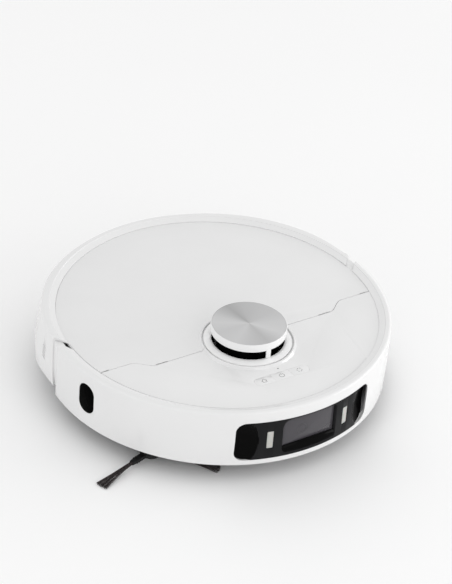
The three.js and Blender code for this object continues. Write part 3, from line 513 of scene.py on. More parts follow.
def fin_material():
    made, tree, shader = material("roller_rubber", 0.35, Roughness=0.55)
    stops = [(0.3, (0.035, 0.036, 0.040)), (0.7, (0.055, 0.056, 0.060))]
    filled(shader, Base_Color=ramped(texture(tree, 14, 3), stops))
    relief(shader, (texture(tree, 0.8, 2), 0.03))
    return made


aluminium = spun_aluminium()
bristle = bristle_material()
microfibre = mop_material()
fin_rubber = fin_material()


# ---- Bumper and rear casing ----

FOOT_R, WAIST_R = 173.3, 174.6  # outer face of the bumper at its foot and half way up
WAIST_H, SHOULDER_H = 50.0, 76.5
RIM_ROUND = 5.2  # radius of the rim's outer edge
RIM_CREST = [(169.2, RIM_H, 0.6), (168.7, RIM_H - 0.8, 0.5), (LIP_R, RIM_LIP_H, 0.3)]
LEFT_SHIFT = 2.6  # degrees by which the joint sits further forward on the left side
JOINTS = ((-1, 0), (1, LEFT_SHIFT))  # each side, with its shift
VENT_ANGLE = 106.5
SWELL = 7.0  # of the rear casing's flanks beyond the circle
SWELL_RISE, SWELL_FALL = (99, 116), (128, 165)  # angles
SWELL_AT_RIM = 0.35  # share of the swell that is left at the top
TONGUE_DEPTH = 1.2  # of the strip in the joint under the outer face of the wall
TONGUE_PLAY = 0.3
TONGUE_ENDS, REBATE_ENDS = (94.2, 100.4), (92.2, 102)  # angles of the strip and of its seat
SHELF_START, SHELF_TOP = 91.2, 80.5


def below_rim(h, depth):
    """How far down a height lies from the rim, as a share of a depth."""
    return min(1, max(0, (RIM_H - h) / depth))


def bumper_end(h):
    """Angle of the bumper's ends: the gap to the rear casing narrows downwards."""
    return 95.7 + 1.3 * below_rim(h, 64)


def casing_start(h):
    return 99.7 - 0.4 * below_rim(h, 58)


def hollow(depth, foot_h, top):
    """The outline of a strip that lies a given depth under the wall's outer face."""
    inner = 169.6
    return [(inner, foot_h), (FOOT_R - depth, foot_h), (WAIST_R - depth, WAIST_H),
            (BODY_R - depth, SHOULDER_H), (BODY_R - depth, top), (inner, top)]


def slanted(side, angle, low, beyond):
    """A tool behind (beyond 1) or ahead (beyond -1) of the slanted line where the rim is parted."""
    outer = wall_point(190, side * (angle + 5))
    inner = wall_point(150, side * (angle - 9))
    reach = beyond * 60
    corners = [outer, inner, (inner[0], inner[1] + reach), (outer[0], outer[1] + reach)]
    return prism("tool", corners, (low, 100))


def make_bumper():
    foot_h = spans("bumper")[2][0]
    inner = BODY_R - SKIN
    above_deck = DECK_H + 0.15
    outline = rounded([
        (FOOT_R, foot_h, 0.9), (WAIST_R, WAIST_H), (BODY_R, SHOULDER_H), (BODY_R, RIM_H, RIM_ROUND),
        *RIM_CREST, (LIP_R, above_deck), (inner, above_deck), (inner, WAIST_H),
        (FOOT_R - SKIN, foot_h, 0.7),
    ], 8)
    shell = turned("bumper_shell", outline, lambda h: -bumper_end(h), lambda h: bumper_end(h) - LEFT_SHIFT)
    low, high = WINDOW_H
    half = BODY_R * sin(radians(WINDOW_HALF))
    window = oblong(2 * half, high - low, WINDOW_ROUND, (0, middle(WINDOW_H)), 10)
    pill = oblong(21.4, 34, 10.6, (0, PILL_H), 12)
    cut(shell, facing("tool", window, FRONT_CUT, WINDOW_TURN),
        facing("tool", pill, WALL_CUT, PILL_ANGLE))
    for side, shift in JOINTS:
        notch = slanted(side, bumper_end(RIM_H) - shift, SHELF_TOP - 0.1, 1)
        strip = hollow(TONGUE_DEPTH - TONGUE_PLAY, 0, SHELF_TOP + 0.25)
        cut(shell, notch, banded("tool", strip, REBATE_ENDS[0] - shift, REBATE_ENDS[1], side))
    softened(shell, 0.4, 2, 50)
    placed(shell, white_wall, "bumper", "white_satin", ["bumper"])


def swell(piece):
    """Pushes the flanks of the rear casing outwards, most below the rim, and not at all at the back."""
    for v in piece.data.vertices:
        x, y = v.co.x / MM, v.co.y / MM
        h = v.co.z / MM + PLATE_H
        behind = degrees(atan2(abs(x), -y))
        r = hypot(x, y)
        push = SWELL * eased(behind, *SWELL_RISE) * (1 - eased(behind, *SWELL_FALL))
        push *= SWELL_AT_RIM + (1 - SWELL_AT_RIM) * (1 - eased(h, 55, RIM_H))
        push *= eased(r, 169, 172)  # only the wall moves, not the rim's lip
        v.co.x *= (r + push) / r
        v.co.y *= (r + push) / r


def make_rear_casing():
    foot_h = spans("rear_shell")[2][0]
    ledge = TUB_R + 0.4
    inner = BODY_R - SKIN
    roof_h, under_roof = TUB_TOP + 0.3, TUB_TOP - 2.5
    outline = rounded([
        (173.8, foot_h, 1.0), (BODY_R, 46), (BODY_R, RIM_H, RIM_ROUND), *RIM_CREST,
        (LIP_R, roof_h), (ledge, roof_h), (ledge, under_roof), (inner, under_roof),
        (inner, foot_h + SKIN), (ledge, foot_h + SKIN), (ledge, foot_h),
    ], 8)
    casing = turned("rear_casing", outline, lambda h: casing_start(h) - LEFT_SHIFT,
                    lambda h: 360 - casing_start(h))
    swell(casing)
    horn_h = SHELF_TOP + 0.4
    horn_top = rounded([(BODY_R, horn_h), (BODY_R, RIM_H, RIM_ROUND - 1.9), *RIM_CREST, (LIP_R, horn_h)], 8)
    for side, shift in JOINTS:
        start = casing_start(RIM_H) - shift
        horn = banded("horn", horn_top, start - 6, start + 2, side)
        cut(horn, slanted(side, start, DECK_CUT[0], -1))
        joined(casing, common(horn, rod("tool", BODY_R - 0.8, (0, 0), DECK_CUT, sides=480)))
    slots = []
    half, rise, width = 3.2, 1.2, 1.5
    for side in (-1, 1):
        for i in range(5):
            low = 46 + 3.1 * i
            slot = [(-half, low), (half, low + rise), (half, low + rise + width), (-half, low + width)]
            leaning = [(side * u, v) for u, v in slot]
            slots.append(facing("tool", leaning, WALL_CUT, side * VENT_ANGLE))
    cut(casing, *slots)
    softened(casing, 0.4, 2, 50)
    placed(casing, white_wall, "root", "white_satin", ["rear_shell"])
    tongues = []
    for side, shift in JOINTS:
        strip = hollow(TONGUE_DEPTH, foot_h + 2.4, SHELF_TOP)
        start, end = (angle - shift for angle in TONGUE_ENDS)
        tongues.append(banded("tongue", strip, start, end, side))
        inner, outer, low = LIP_R + (3.6 if side < 0 else 0.2), 170, 79.2
        shelf = [(inner, low), (outer, low), (outer, SHELF_TOP), (inner, SHELF_TOP)]
        end = casing_start(RIM_H) - shift - 0.3
        tongues.append(banded("shelf", shelf, SHELF_START, end, side))
    placed(softened(merged("casing_tongues", tongues), 0.3, 2), white_satin, "root", "white_satin")
    back = oblong(9, 20, 1, (0, 54))
    backs = [facing("vent", back, (-172.4, -171.2), side * VENT_ANGLE) for side in (-1, 1)]
    placed(merged("vent_backing", backs), black_matte, "root", "black_matte")


# ---- Deck and lid ----

def seam(shift):
    """The step in the line where deck and lid meet, on the left side, from the inner end outwards."""
    inner, outer = SEAM_JOG
    back = SEAM_SIDE_Y - SEAM_MID_Y
    shares = [k / 16 for k in range(17)]
    return [(inner + (outer - inner) * t, SEAM_MID_Y + back * eased(t, 0, 1) + shift) for t in shares]


def arc(radius, start, end, centre=(0, 0), steps=None):
    count = steps or max(2, round(abs(end - start) / 1.2))
    return [wall_point(radius, start + (end - start) * k / count, centre) for k in range(count + 1)]


def rim_angle(radius, y):
    """The angle from the front where a circle about the body's axis crosses a line across the body."""
    return degrees(acos(-y / radius))


def well_angle(y):
    return degrees(acos((TURRET_Y - y) / WELL_R))


def mirrored(points):
    return [(-x, y) for x, y in reversed(points)]


def around_turret(name, outline, steps=ROUND_TURRET):
    return turned(name, outline, centre=(0, TURRET_Y), steps=steps)


def lip(side):
    """The low lip around the turret's well, ahead of the seam (side -1) or behind it (side 1)."""
    root_h = DECK_H - 1.5
    outer = WELL_R + 3.6
    profile = rounded([(WELL_R, root_h), (WELL_R, WELL_LIP_H, 0.9), (WELL_R + 1.9, WELL_LIP_H, 2.5),
                       (outer, DECK_H - 0.05), (outer, root_h)], 6)
    near, far = sorted((SEAM_MID_Y + side * SEAM_GAP / 2, side * 200))
    return common(around_turret("lip", profile), box("tool", (-80, 80), (near, far), DECK_CUT))


def rim_grooves():
    """The line beside the rim: clear towards the right side, faint across the front."""
    inner, outer, above = PLATE_R - 1.3, PLATE_R - 0.4, 90
    made = []
    for depth, start, end in ((0.9, -96, -45), (0.55, -46, -24), (0.25, -25, 34)):
        low = DECK_H - depth
        outline = [(inner, low), (outer, low), (outer, above), (inner, above)]
        made.append(banded("tool", outline, start, end))
    return made


def make_deck():
    bumper_side = 91.0  # up to this angle the deck reaches under the bumper's rim
    shift = -SEAM_GAP / 2
    border_r = PLATE_R + 0.2
    seam_end = rim_angle(border_r, SEAM_SIDE_Y + shift)
    well = well_angle(SEAM_MID_Y + shift)
    left = arc(DECK_R, 0, bumper_side)[1:] + arc(border_r, bumper_side, seam_end)
    left += list(reversed(seam(shift)))
    around = arc(WELL_R, well, -well, (0, TURRET_Y))
    outline = left + around + mirrored(left) + [wall_point(DECK_R, 0)]
    deck = prism("deck_plate", outline, (DECK_PLATE_H, DECK_H))
    play = 0.24
    pill = oblong(3 * KEY_PITCH + play, KEY_DEPTH + play, 5.6, (0, KEY_Y), 12)
    cut(deck, prism("tool", pill, DECK_CUT))
    joined(deck, lip(-1))
    cut(deck, *rim_grooves())
    softened(deck, 0.2, 3, 50)
    placed(deck, white_gloss, "root", "white_gloss", ["front_deck"])


def make_lid():
    shift = SEAM_GAP / 2
    seam_end = rim_angle(PLATE_R, SEAM_SIDE_Y + shift)
    well = well_angle(SEAM_MID_Y + shift)
    middle_y, notch_y = SEAM_MID_Y + shift, SEAM_MID_Y + 1.2
    notch = [(103.0, middle_y), (101.6, notch_y), (89.4, notch_y), (88.0, middle_y)]
    step = list(reversed(seam(shift)))
    step[-1] = (103.6, step[-1][1])
    outer_y = SEAM_SIDE_Y + shift
    catch_y = outer_y + 0.9
    catch = [(154.0, outer_y), (153.4, catch_y), (147.6, catch_y), (147.0, outer_y)]
    left = catch + step + notch
    back = arc(PLATE_R, 360 - seam_end, seam_end)
    around = arc(WELL_R, well, 360 - well, (0, TURRET_Y))
    outline = back + left[1:] + around + mirrored(left)[:-1]
    lid = prism("lid_plate", outline, (TUB_TOP + 0.3, DECK_H))
    joined(lid, lip(1))
    cut(lid, *rim_grooves())
    softened(lid, 0.3, 3, 50)
    placed(lid, white_satin, "lid", "white_satin", ["rear_lid"])
    # Painted shadow: a black strip under the gap between deck and lid, standing in for the shade inside the
    # seam.
    line = [(WELL_R, SEAM_MID_Y)] + seam(0) + [(157, SEAM_SIDE_Y)]
    span = (DECK_H - 1.5, DECK_H - 0.7)
    painted_shadow_strips = [ribbon([(side * x, y) for x, y in line], 0.5, span) for side in (-1, 1)]
    placed(merged("seam_painted_shadow", painted_shadow_strips), black_matte, "root")


# ---- Keys with their printed signs ----

def ribbon(points, width, span):
    """A flat strip of even width along a line, as a thin solid."""
    left, right = [], []
    for i, p in enumerate(points):
        here = Vector(p)
        before = Vector(points[max(i - 1, 0)])
        after = Vector(points[min(i + 1, len(points) - 1)])
        along = (after - here).normalized() + (here - before).normalized()
        along.normalize()
        across = Vector((-along.y, along.x)) * width / 2
        left.append(tuple(here + across))
        right.append(tuple(here - across))
    return prism("strip", left + right[::-1], span)


def sign(name, key, lines):
    """A printed sign that stands a hair proud of its key."""
    strips = [ribbon(line, 0.45, (DECK_H - 0.04, DECK_H + 0.06)) for line in lines]
    placed(merged(name, strips), print_grey, key)


def make_keys():
    foot_h, collar_h = 73.5, 76
    collar_half = 29.7
    for index, name in enumerate(("key_right", "key_power", "key_left")):
        centre_x = (index - 1) * KEY_PITCH
        row = oblong(3 * KEY_PITCH, KEY_DEPTH, 5.5, (0, KEY_Y), 12)
        pill = prism(name + "_cap", row, (foot_h, DECK_H))
        half = KEY_PITCH / 2
        low = -100 if index == 0 else centre_x - half + 0.05
        high = 100 if index == 2 else centre_x + half - 0.05
        common(pill, box("tool", (low, high), (-200, 0), (60, 100)))
        collar = (max(low, -collar_half), min(high, collar_half))
        joined(pill, box("tool", collar, spans(name)[1], (foot_h, collar_h)))
        softened(pill, 0.12, 2, 50)
        placed(pill, white_gloss, name, "white_gloss", [name])
    x, y = -KEY_PITCH, KEY_Y
    roof = [(x - 3, y - 0.2), (x, y + 2.6), (x + 3, y - 0.2)]
    walls = [(x - 2, y + 0.4), (x - 2, y - 2.4), (x + 2, y - 2.4), (x + 2, y + 0.4)]
    sign("sign_home", "key_right", [roof, walls])
    sign_r = 2.6
    ring = arc(sign_r, 205, 515, (0, KEY_Y), 28)
    bar = [(0, KEY_Y + 1.0), (0, KEY_Y + 3.2)]
    sign("sign_power", "key_power", [ring, bar])
    dashes = [arc(sign_r, 60 * k, 60 * k + 38, (KEY_PITCH, KEY_Y), 6) for k in range(6)]
    sign("sign_spot", "key_left", dashes)
    dome = [(0, DECK_H - 0.2), (0.8, DECK_H - 0.2), (0.8, DECK_H + 0.03), (0, DECK_H + 0.05)]
    placed(turned("status_lamp", dome, centre=(2.5, -109.2), steps=24), print_grey, "root")


# ---- Laser turret ----

POST_ANGLES = (0, 120, 240)


def make_turret():
    neck_r, flange_r, chamber_r, bore_r = 44.3, 47.5, 36.5, 4.4
    floor_h, under_floor, flange_h = 66, 63.4, 74.4
    housing = around_turret("turret_base", rounded([
        (neck_r, TUB_TOP), (neck_r, DECK_H + 2.3, 0.9), (TURRET_R + 0.7, SILL_H, 0.5),
        (chamber_r, SILL_H, 0.3), (chamber_r, floor_h), (bore_r, floor_h), (bore_r, under_floor),
        (TURRET_R, under_floor), (TURRET_R, flange_h), (flange_r, flange_h), (flange_r, TUB_TOP),
    ]))
    placed(housing, white_lit_turret, "root", "white_satin", ["lidar_housing"])
    inner, outer, low, high = neck_r - 0.1, WELL_R - 0.05, 80.6, 81.2
    groove = [(inner, low), (outer, low), (outer, high), (inner, high)]
    placed(around_turret("turret_groove", groove, 128), white_satin, "root")
    disc_r = TURRET_R - 0.9
    recess_r, recess_h = disc_r + 0.12, TURRET_TOP - 1.3
    roof_r, roof_h = 34.6, BROW_H + 3.2
    cap = around_turret("turret_cap", rounded([
        (0, roof_h), (roof_r, roof_h), (roof_r, BROW_H), (TURRET_R, BROW_H, 0.5),
        (TURRET_R, TURRET_TOP, 0.6), (recess_r, TURRET_TOP), (recess_r, recess_h), (0, recess_h),
    ]))
    low, high, outer = SILL_H + 0.3, BROW_H + 0.4, TURRET_R - 0.1
    post = rounded([(chamber_r, low), (outer, low), (outer, high), (chamber_r, high)])
    posts = [banded("post", post, angle - 4, angle + 4, centre=(0, TURRET_Y), steps=ROUND_TURRET)
             for angle in POST_ANGLES]
    cap = merged("turret_cap_body", [cap] + posts)
    placed(softened(cap, 0.25, 2, 60), white_lit_turret, "root", "white_satin", ["lidar_cap"])
    # Painted shade: a thin lining over the chamber's wall and under the roof, so that the slot reads black
    # as if in deep shade.
    low, high = floor_h + 0.1, SILL_H - 0.05
    inner, outer = chamber_r - 0.6, chamber_r - 0.05
    liner = around_turret("turret_liner", [(outer, high), (outer, low), (inner, low), (inner, high)], 96)
    inner, outer = roof_r - 0.6, roof_r - 0.1
    low, under_roof, high = BROW_H + 0.1, roof_h - 0.6, roof_h - 0.1
    roof = around_turret("roof", [(0, high), (outer, high), (outer, low), (inner, low),
                                  (inner, under_roof), (0, under_roof)], 96)
    placed(merged("turret_lining", [liner, roof]), painted_shade_black, "root", "black_matte")
    low, high = TURRET_TOP - 1.0, TURRET_TOP + 0.1
    outline = rounded([(0, low), (disc_r, low), (disc_r, high, 0.35), (0, high)])
    plate = around_turret("turret_disc", outline, 192)
    placed(plate, aluminium, "root", "spun_aluminium", ["lidar_disc"])
    pulley_h = spans("lidar_rotor")[2][0]
    pulley_top = pulley_h + 5
    pulley_r, shaft_r, head_r = 12, 4.0, 31
    head_h, head_top = 67, BROW_H - 1.8
    head = around_turret("laser_head", rounded([
        (0, pulley_h), (pulley_r, pulley_h, 0.5), (pulley_r, pulley_top, 0.5), (shaft_r, pulley_top),
        (shaft_r, head_h), (head_r, head_h, 1), (head_r, head_top, 1.5), (0, head_top),
    ]), 96)
    eyes = ((-13, 82), (13, 82))
    cut(head, *[rod("tool", 7, eye, (-200, TURRET_Y - 27), "y") for eye in eyes])
    placed(softened(head, 0.3, 2, 50), black_gloss, "lidar_head", "black_gloss", ["lidar_rotor"])
    lenses = [rod("lens", 6.2, eye, (TURRET_Y - 27.5, TURRET_Y - 26.8), "y") for eye in eyes]
    placed(softened(merged("laser_eyes", lenses), 0.2, 2), black_glass, "lidar_head")


# ---- Window, camera and lamps ----

def shield(half, low, high, radii):
    """The camera pane's outline: its right end is rounder than its left."""
    corners = ((half, low), (half, high), (-half, high), (-half, low))
    return rounded([(*corner, radius) for corner, radius in zip(corners, radii)], 6)


def scoop(side):
    """The smooth hollow at one end of the window, as a flattened ball."""
    bm = bmesh.new()
    bmesh.ops.create_uvsphere(bm, u_segments=128, v_segments=96, radius=1)
    x, y = wall_point(BAND_R + 3.2, side * SCOOP_ANGLE)
    shape = Matrix.Diagonal((25 * MM, 9 * MM, 32 * MM, 1))
    turn = Matrix.Rotation(radians(side * SCOOP_ANGLE), 4, "Z")
    bm.transform(Matrix.Translation(at(x, y, middle(WINDOW_H))) @ turn @ shape)
    return piece_from("scoop", bm)


def make_window():
    low, high = WINDOW_H
    play = 0.35
    inside = 167.3
    half = BODY_R * sin(radians(WINDOW_HALF)) - play
    band = banded("sensor_band", [(inside, 20), (BAND_R, 20), (BAND_R, 80), (inside, 80)], -30, 30,
                  steps=960)
    shape = oblong(2 * half, high - low - 2 * play, WINDOW_ROUND - 0.3, (0, middle(WINDOW_H)), 10)
    common(band, prism("tool", shape, FRONT_CUT, "y"))
    scoops = [scoop(-1), scoop(1)]
    lamp = oblong(7.2, 20.5, 1.3, (0, LAMP_H))
    lamps = [facing("tool", lamp, WALL_CUT, side * LAMP_ANGLE) for side in (-1, 1)]
    outer = shield(34, 28.9, 69.4, (3, 4, 9, 6))
    inner = shield(29.8, 30.4, 68.0, (3, 3.5, 9, 5))
    pane_y = -168.4
    recess = lofted("tool", [(inner, -150), (inner, pane_y), (outer, -175)], "y")
    cut(band, *scoops, *lamps, recess)
    softened(band, 0.25, 2, 25)
    placed(spun(band, WINDOW_TURN), black_satin, "bumper", "black_gloss", ["sensor_window"], sharp=25)
    band.data.materials.append(black_gloss)
    recess_half = 16  # degrees, between the lamps and the scoops
    for face in band.data.polygons:
        x, y = face.center.x / MM, face.center.y / MM
        turned_by = abs(degrees(atan2(x, -y)) - WINDOW_TURN)
        if hypot(x, y) < BAND_R - 0.3 and turned_by > recess_half:
            face.material_index = 1
    pane = prism("camera_pane", shield(29.4, 31, 67.6, (3, 3.5, 9, 5)), (pane_y + 0.1, -167), "y")
    pane = spun(softened(pane, 0.25, 2), WINDOW_TURN)
    placed(pane, pane_glass, "bumper", "pane", ["sensor_pane"])
    mark = (-7, 50)
    ring = rod("pane_ring", 5.6, mark, (pane_y + 0.04, -168.2), "y", 64)
    cut(ring, rod("tool", 4.7, mark, (-170, -165), "y", 64))
    placed(spun(ring, WINDOW_TURN), dark_grey, "bumper")
    slope = [(pane_y, 29.6), (-173.2, 29.6), (-173.2, 30.2), (-170.6, 34.6), (pane_y - 0.05, 38.4)]
    sill = prism("camera_sill", rounded([(y, h, 0.6) for y, h in slope], 4), (-31, 31), "x")
    common(sill, rod("tool", BAND_R - 0.2, (0, 0), (20, 80), sides=480))
    sill = spun(softened(sill, 0.3, 2, 40), WINDOW_TURN)
    placed(sill, black_gloss, "bumper", "black_gloss")
    for side, name in ((-1, "right"), (1, "left")):
        bar = prism("lamp_cover_" + name, oblong(6.7, 20.0, 1.1, (0, LAMP_H)), (-173.1, -169), "y")
        bar = spun(softened(bar, 0.4, 3), side * LAMP_ANGLE + WINDOW_TURN)
        placed(bar, lamp_cover, "bumper", "led_cover", ["led_bar_" + name])
    back = box("camera_board", (-28.5, 28.5), (-163.4, -161), (32, 66))
    joined(back, box("tool", (-20, 20), (-161.5, -157), (38, 60)))
    placed(softened(back, 0.3, 2), black_matte, "bumper", "black_matte", ["camera_module"])
    rings, glass = [], []
    for x, r in ((-7, 6.4), (12, 4.0)):
        eye = (x, 57)
        tube = rod("ring", r, eye, (-166.8, -163.3), "y", 64)
        rings.append(cut(tube, rod("tool", r * 0.68, eye, (-170, -165), "y", 64)))
        glass.append(rod("lens", r * 0.66, eye, (-166.2, -164.9), "y", 48))
    placed(softened(merged("camera_barrels", rings), 0.3, 2), mid_grey, "bumper")
    placed(softened(merged("camera_lenses", glass), 0.5, 3), lens_glass, "bumper")
    eye = prism("side_eye", oblong(21.0, 33.6, 10.4, (0, PILL_H), 14), (-174.4, -171.4), "y")
    eye = spun(softened(eye, 0.6, 3), PILL_ANGLE)
    placed(eye, black_glass, "bumper", "black_gloss", ["side_sensor_window"])


# ---- Side brush ----

random.seed(7)


def strand(path, radius, sides=4):
    """Points and faces of a thin tapering tube along a path."""
    points, faces = [], []
    for i, p in enumerate(path):
        after = path[min(i + 1, len(path) - 1)]
        before = path[max(i - 1, 0)]
        along = (after - before).normalized()
        side = along.cross(Vector((0, 0, 1))).normalized()
        up = side.cross(along)
        r = radius * (1 - 0.35 * i / (len(path) - 1))
        for k in range(sides):
            t = 2 * pi * k / sides
            points.append(p + side * r * cos(t) + up * r * sin(t))
    for i in range(len(path) - 1):
        for k in range(sides):
            n = (k + 1) % sides
            faces.append((i * sides + k, i * sides + n, (i + 1) * sides + n, (i + 1) * sides + k))
    faces += [tuple(range(sides)), tuple(range(len(points) - sides, len(points)))]
    return points, faces


def bristle_path(angle):
    """The line of one bristle: it leaves the sleeve, spreads out sideways and bends down to the floor."""
    root_r, reach_r = 25, 70.4
    turn = Matrix.Rotation(radians(angle), 3, "Z")
    u, v = random.uniform(-1, 1), random.uniform(-1, 1)
    reach = reach_r - 2.4 * random.random() ** 2 - 1.5 * abs(u) ** 3
    curl = random.uniform(-0.5, 0.5)
    path = []
    for k in range(8):
        t = k / 7
        spread = 1.5 + 0.5 * t + 5.8 * max(0, t - 0.15) ** 1.4
        lift = 6.9 + v * (1.2 - 0.7 * t) - 5.6 * t ** 1.4
        local = turn @ Vector((root_r + (reach - root_r) * t, u * spread + curl * t * t, 0))
        path.append(Vector((SIDE_BRUSH[0] + local.x, SIDE_BRUSH[1] + local.y, lift)))
    return path


def make_side_brush():
    hub_r, hub_top, shaft_r, shaft_top, foot_h = 11, 10.4, 4, 18, 4
    hub = turned("side_brush_hub_body", rounded([
        (0, foot_h), (8.5, foot_h, 1), (hub_r, 6, 1.5), (hub_r, hub_top, 0.6), (shaft_r, hub_top),
        (shaft_r, shaft_top, 0.4), (0, shaft_top),
    ]), centre=SIDE_BRUSH, steps=64)
    sleeves = []
    for angle in ARM_ANGLES:
        near = oblong(6.6, 4.6, 1.2, (0, 7.2), 4)
        far = oblong(5.2, 4.0, 1.1, (0, 6.9), 4)
        sleeve = lofted("sleeve", [(near, 4), (near, 16), (far, 27)], "x")
        ribs = [prism("rib", oblong(6.8, 4.9, 1.2, (0, 7.15), 4), (r, r + 1), "x") for r in (18, 21)]
        sleeve = merged("sleeve", [sleeve] + ribs)
        spun(sleeve, angle)
        sleeve.data.transform(Matrix.Translation(Vector((*SIDE_BRUSH, 0)) * MM))
        sleeves.append(sleeve)
    hub = merged("side_brush_body", [hub] + sleeves)
    placed(hub, rubber, "side_brush", "rubber", ["side_brush_hub"])
    placed(screw_head(*SIDE_BRUSH, foot_h, 3.2), steel, "side_brush")
    bristles = 84
    for number, angle in enumerate(ARM_ANGLES, 1):
        points, faces = [], []
        for _ in range(bristles):
            path = bristle_path(angle)
            more, rings = strand(path, random.uniform(0.20, 0.30))
            faces += [tuple(i + len(points) for i in face) for face in rings]
            points += more
        name = "side_brush_tuft_" + str(number)
        tuft = build(name + "_bristles", [tuple(p) for p in points], faces)
        placed(tuft, bristle, "side_brush", "bristle", [name])


def screw_head(x, y, h, radius):
    """A domed cross-head screw that faces down."""
    head = turned("screw", rounded([
        (0, h - 0.7), (radius * 0.7, h - 0.6, 1), (radius, h - 0.1, 0.3), (radius, h + 0.6), (0, h + 0.6),
    ], 3), centre=(x, y), steps=32)
    long, thin = radius * 0.62, 0.35
    depth = (h - 2, h - 0.1)
    arms = [box("tool", (x - u, x + u), (y - v, y + v), depth) for u, v in ((long, thin), (thin, long))]
    return cut(head, *arms)


# ---- Wheels, caster, mops, roller ----

def make_wheels():
    for name in ("right", "left"):
        (x0, x1), (y0, y1), (h0, h1) = spans("wheel_tyre_" + name)
        axis = (middle((y0, y1)), middle((h0, h1)))
        radius = (h1 - h0) / 2
        lugs, groove, bore_r = 18, 1.8, 25.6
        sections = []
        for k in range(9):
            t = k / 8
            lean = 0.32 * (1 - abs(2 * t - 1))
            crown = 0.9 * (2 * t - 1) ** 4
            ring = []
            for i in range(lugs):
                for offset, depth in ((-0.36, groove), (-0.27, 0), (0, 0), (0.27, 0), (0.36, groove),
                                      (0.5, groove)):
                    turn = 2 * pi * (i + offset + lean) / lugs - pi / 2
                    r = radius - depth - crown
                    ring.append((axis[0] + r * cos(turn), axis[1] + r * sin(turn)))
            sections.append((ring, x0 + (x1 - x0) * t))
        tyre = lofted("tyre_" + name, sections, "x")
        cut(tyre, rod("tool", bore_r, axis, (x0 - 5, x1 + 5), "x", 96))
        softened(tyre, 0.3, 2, 40)
        placed(tyre, tyre_rubber, "wheel_" + name, "tyre", ["wheel_tyre_" + name])


def make_mops():
    for name, side in (("right", -1), ("left", 1)):
        body = "mop_" + name
        centre = (side * MOP_X, MOP_Y)
        (x0, x1), _, (_, top) = spans("mop_pad_" + name)
        radius, pile = (x1 - x0) / 2, 0.25
        outline = rounded([(0, pile), (radius, pile, 2.2), (radius, top, 1.8), (0, top)], 5)
        outline = [outline[0]] + [(radius * k / 30, pile) for k in range(1, 29)] + outline[1:]
        pad = turned("mop_cloth_" + name, outline, centre=centre, steps=192)
        bm = bmesh.new()
        bm.from_mesh(pad.data)
        bm.normal_update()
        for v in bm.verts:
            spot = v.co / MM
            curl = noise.noise(spot * 0.42) + 0.6 * noise.noise(spot * 0.9)
            off = hypot(spot.x - centre[0], spot.y - centre[1])
            stitch = 0.5 * exp(-((off - 52) / 1.2) ** 2)
            low = spot.z + PLATE_H < 1.5
            push = min(0.24, 0.22 * curl) - (stitch if low else 0)
            v.co += v.normal * push * MM
            v.co.z = max(v.co.z, (0.02 - PLATE_H) * MM)
        bm.to_mesh(pad.data)
        bm.free()
        placed(pad, microfibre, body, "mop_fabric", ["mop_pad_" + name], sharp=80)
        low, high = spans("mop_disc_" + name)[2]
        face = high - 0.6
        plate = turned("mop_plate_" + name, rounded([
            (0, low), (61, low, 0.6), (60.4, face, 0.8), (22, face, 1), (20, high, 0.6), (0, high),
        ]), centre=centre, steps=128)
        placed(plate, dark_grey, body, "dark_grey", ["mop_disc_" + name])


def make_roller():
    x0, x1 = -71.0, 70.0
    fins, core, root, edge, tip, steps = 5, 12.0, 14.0, 18.4, 19.0, 72
    sections = []
    for k in range(steps + 1):
        t = k / steps
        twist = 1.6 * abs(t - 0.5)
        ring = []
        for i in range(fins):
            for r, offset in ((core, -0.5), (core, -0.16), (root, -0.11), (edge, -0.07), (tip, -0.045),
                              (tip, 0.045), (edge, 0.07), (root, 0.11), (core, 0.16)):
                turn = 2 * pi * (i + offset) / fins + twist
                ring.append((BRUSH_Y + r * cos(turn), BRUSH_H + r * sin(turn)))
        sections.append((ring, x0 + (x1 - x0) * t))
    roller = lofted("roller_fins", sections, "x")
    placed(roller, fin_rubber, "roller", "dark_grey", ["main_brush"], sharp=40)
    ends = [rod("end", 4, (BRUSH_Y, BRUSH_H), span, "x") for span in ((-77, -70.9), (69.9, 73.2))]
    placed(softened(merged("roller_shaft", ends), 0.4, 2), steel, "roller", "steel")


def make_caster():
    _, _, (low, high) = spans("caster_wheel")
    radius = (high - low) / 2
    centre_y = CASTER_Y + CASTER_TRAIL
    half, rim_r, shoulder = 6.5, radius - 2.4, 4.3
    outline = rounded([(0, -half), (rim_r, -half, 0.6), (radius, -shoulder, 1.6),
                       (radius, shoulder, 1.6), (rim_r, half, 0.6), (0, half)])
    wheel = turned("caster_roller", outline, steps=96)
    lift = Matrix.Translation(Vector((0, centre_y, radius - PLATE_H)) * MM)
    tip_over = Matrix.Rotation(radians(90), 4, "Y")
    wheel.data.transform(lift @ tip_over @ Matrix.Translation(Vector((0, 0, PLATE_H)) * MM))
    placed(wheel, rubber, "caster_wheel", "black_matte", ["caster_wheel"])
    pin = rod("caster_axle", 2.2, (centre_y, radius), (-10, 10), "x", 32)
    placed(softened(pin, 0.3, 2), steel, "caster_wheel", "steel")


# ---- CAD shapes carried over with soft edges ----

CARRIED = (
    ("dark_grey", dark_grey, """
        chassis brush_housing drive_arm_right drive_arm_left dust_bin_cover fan_housing mop_frame
        side_brush_gearbox water_pump"""),
    ("mid_grey", mid_grey, """
        brush_guard brush_pulley brush_motor_pulley caster_fork wheel_hub_right wheel_hub_left
        fan_impeller mop_gear_right mop_gear_left mop_idler_right mop_idler_left"""),
    ("steel", steel, "lidar_motor brush_motor mop_motor"),
    ("rubber", rubber, "lidar_belt brush_belt"),
    ("smoke", smoke, "dust_bin water_tank"),
    ("black_matte", black_matte, "lidar_motor_pulley"),
    ("board", board_green, "main_board"),
    ("filter", paper, "dust_filter"),
    ("battery_wrap", wrap_blue, "battery_pack"),
)


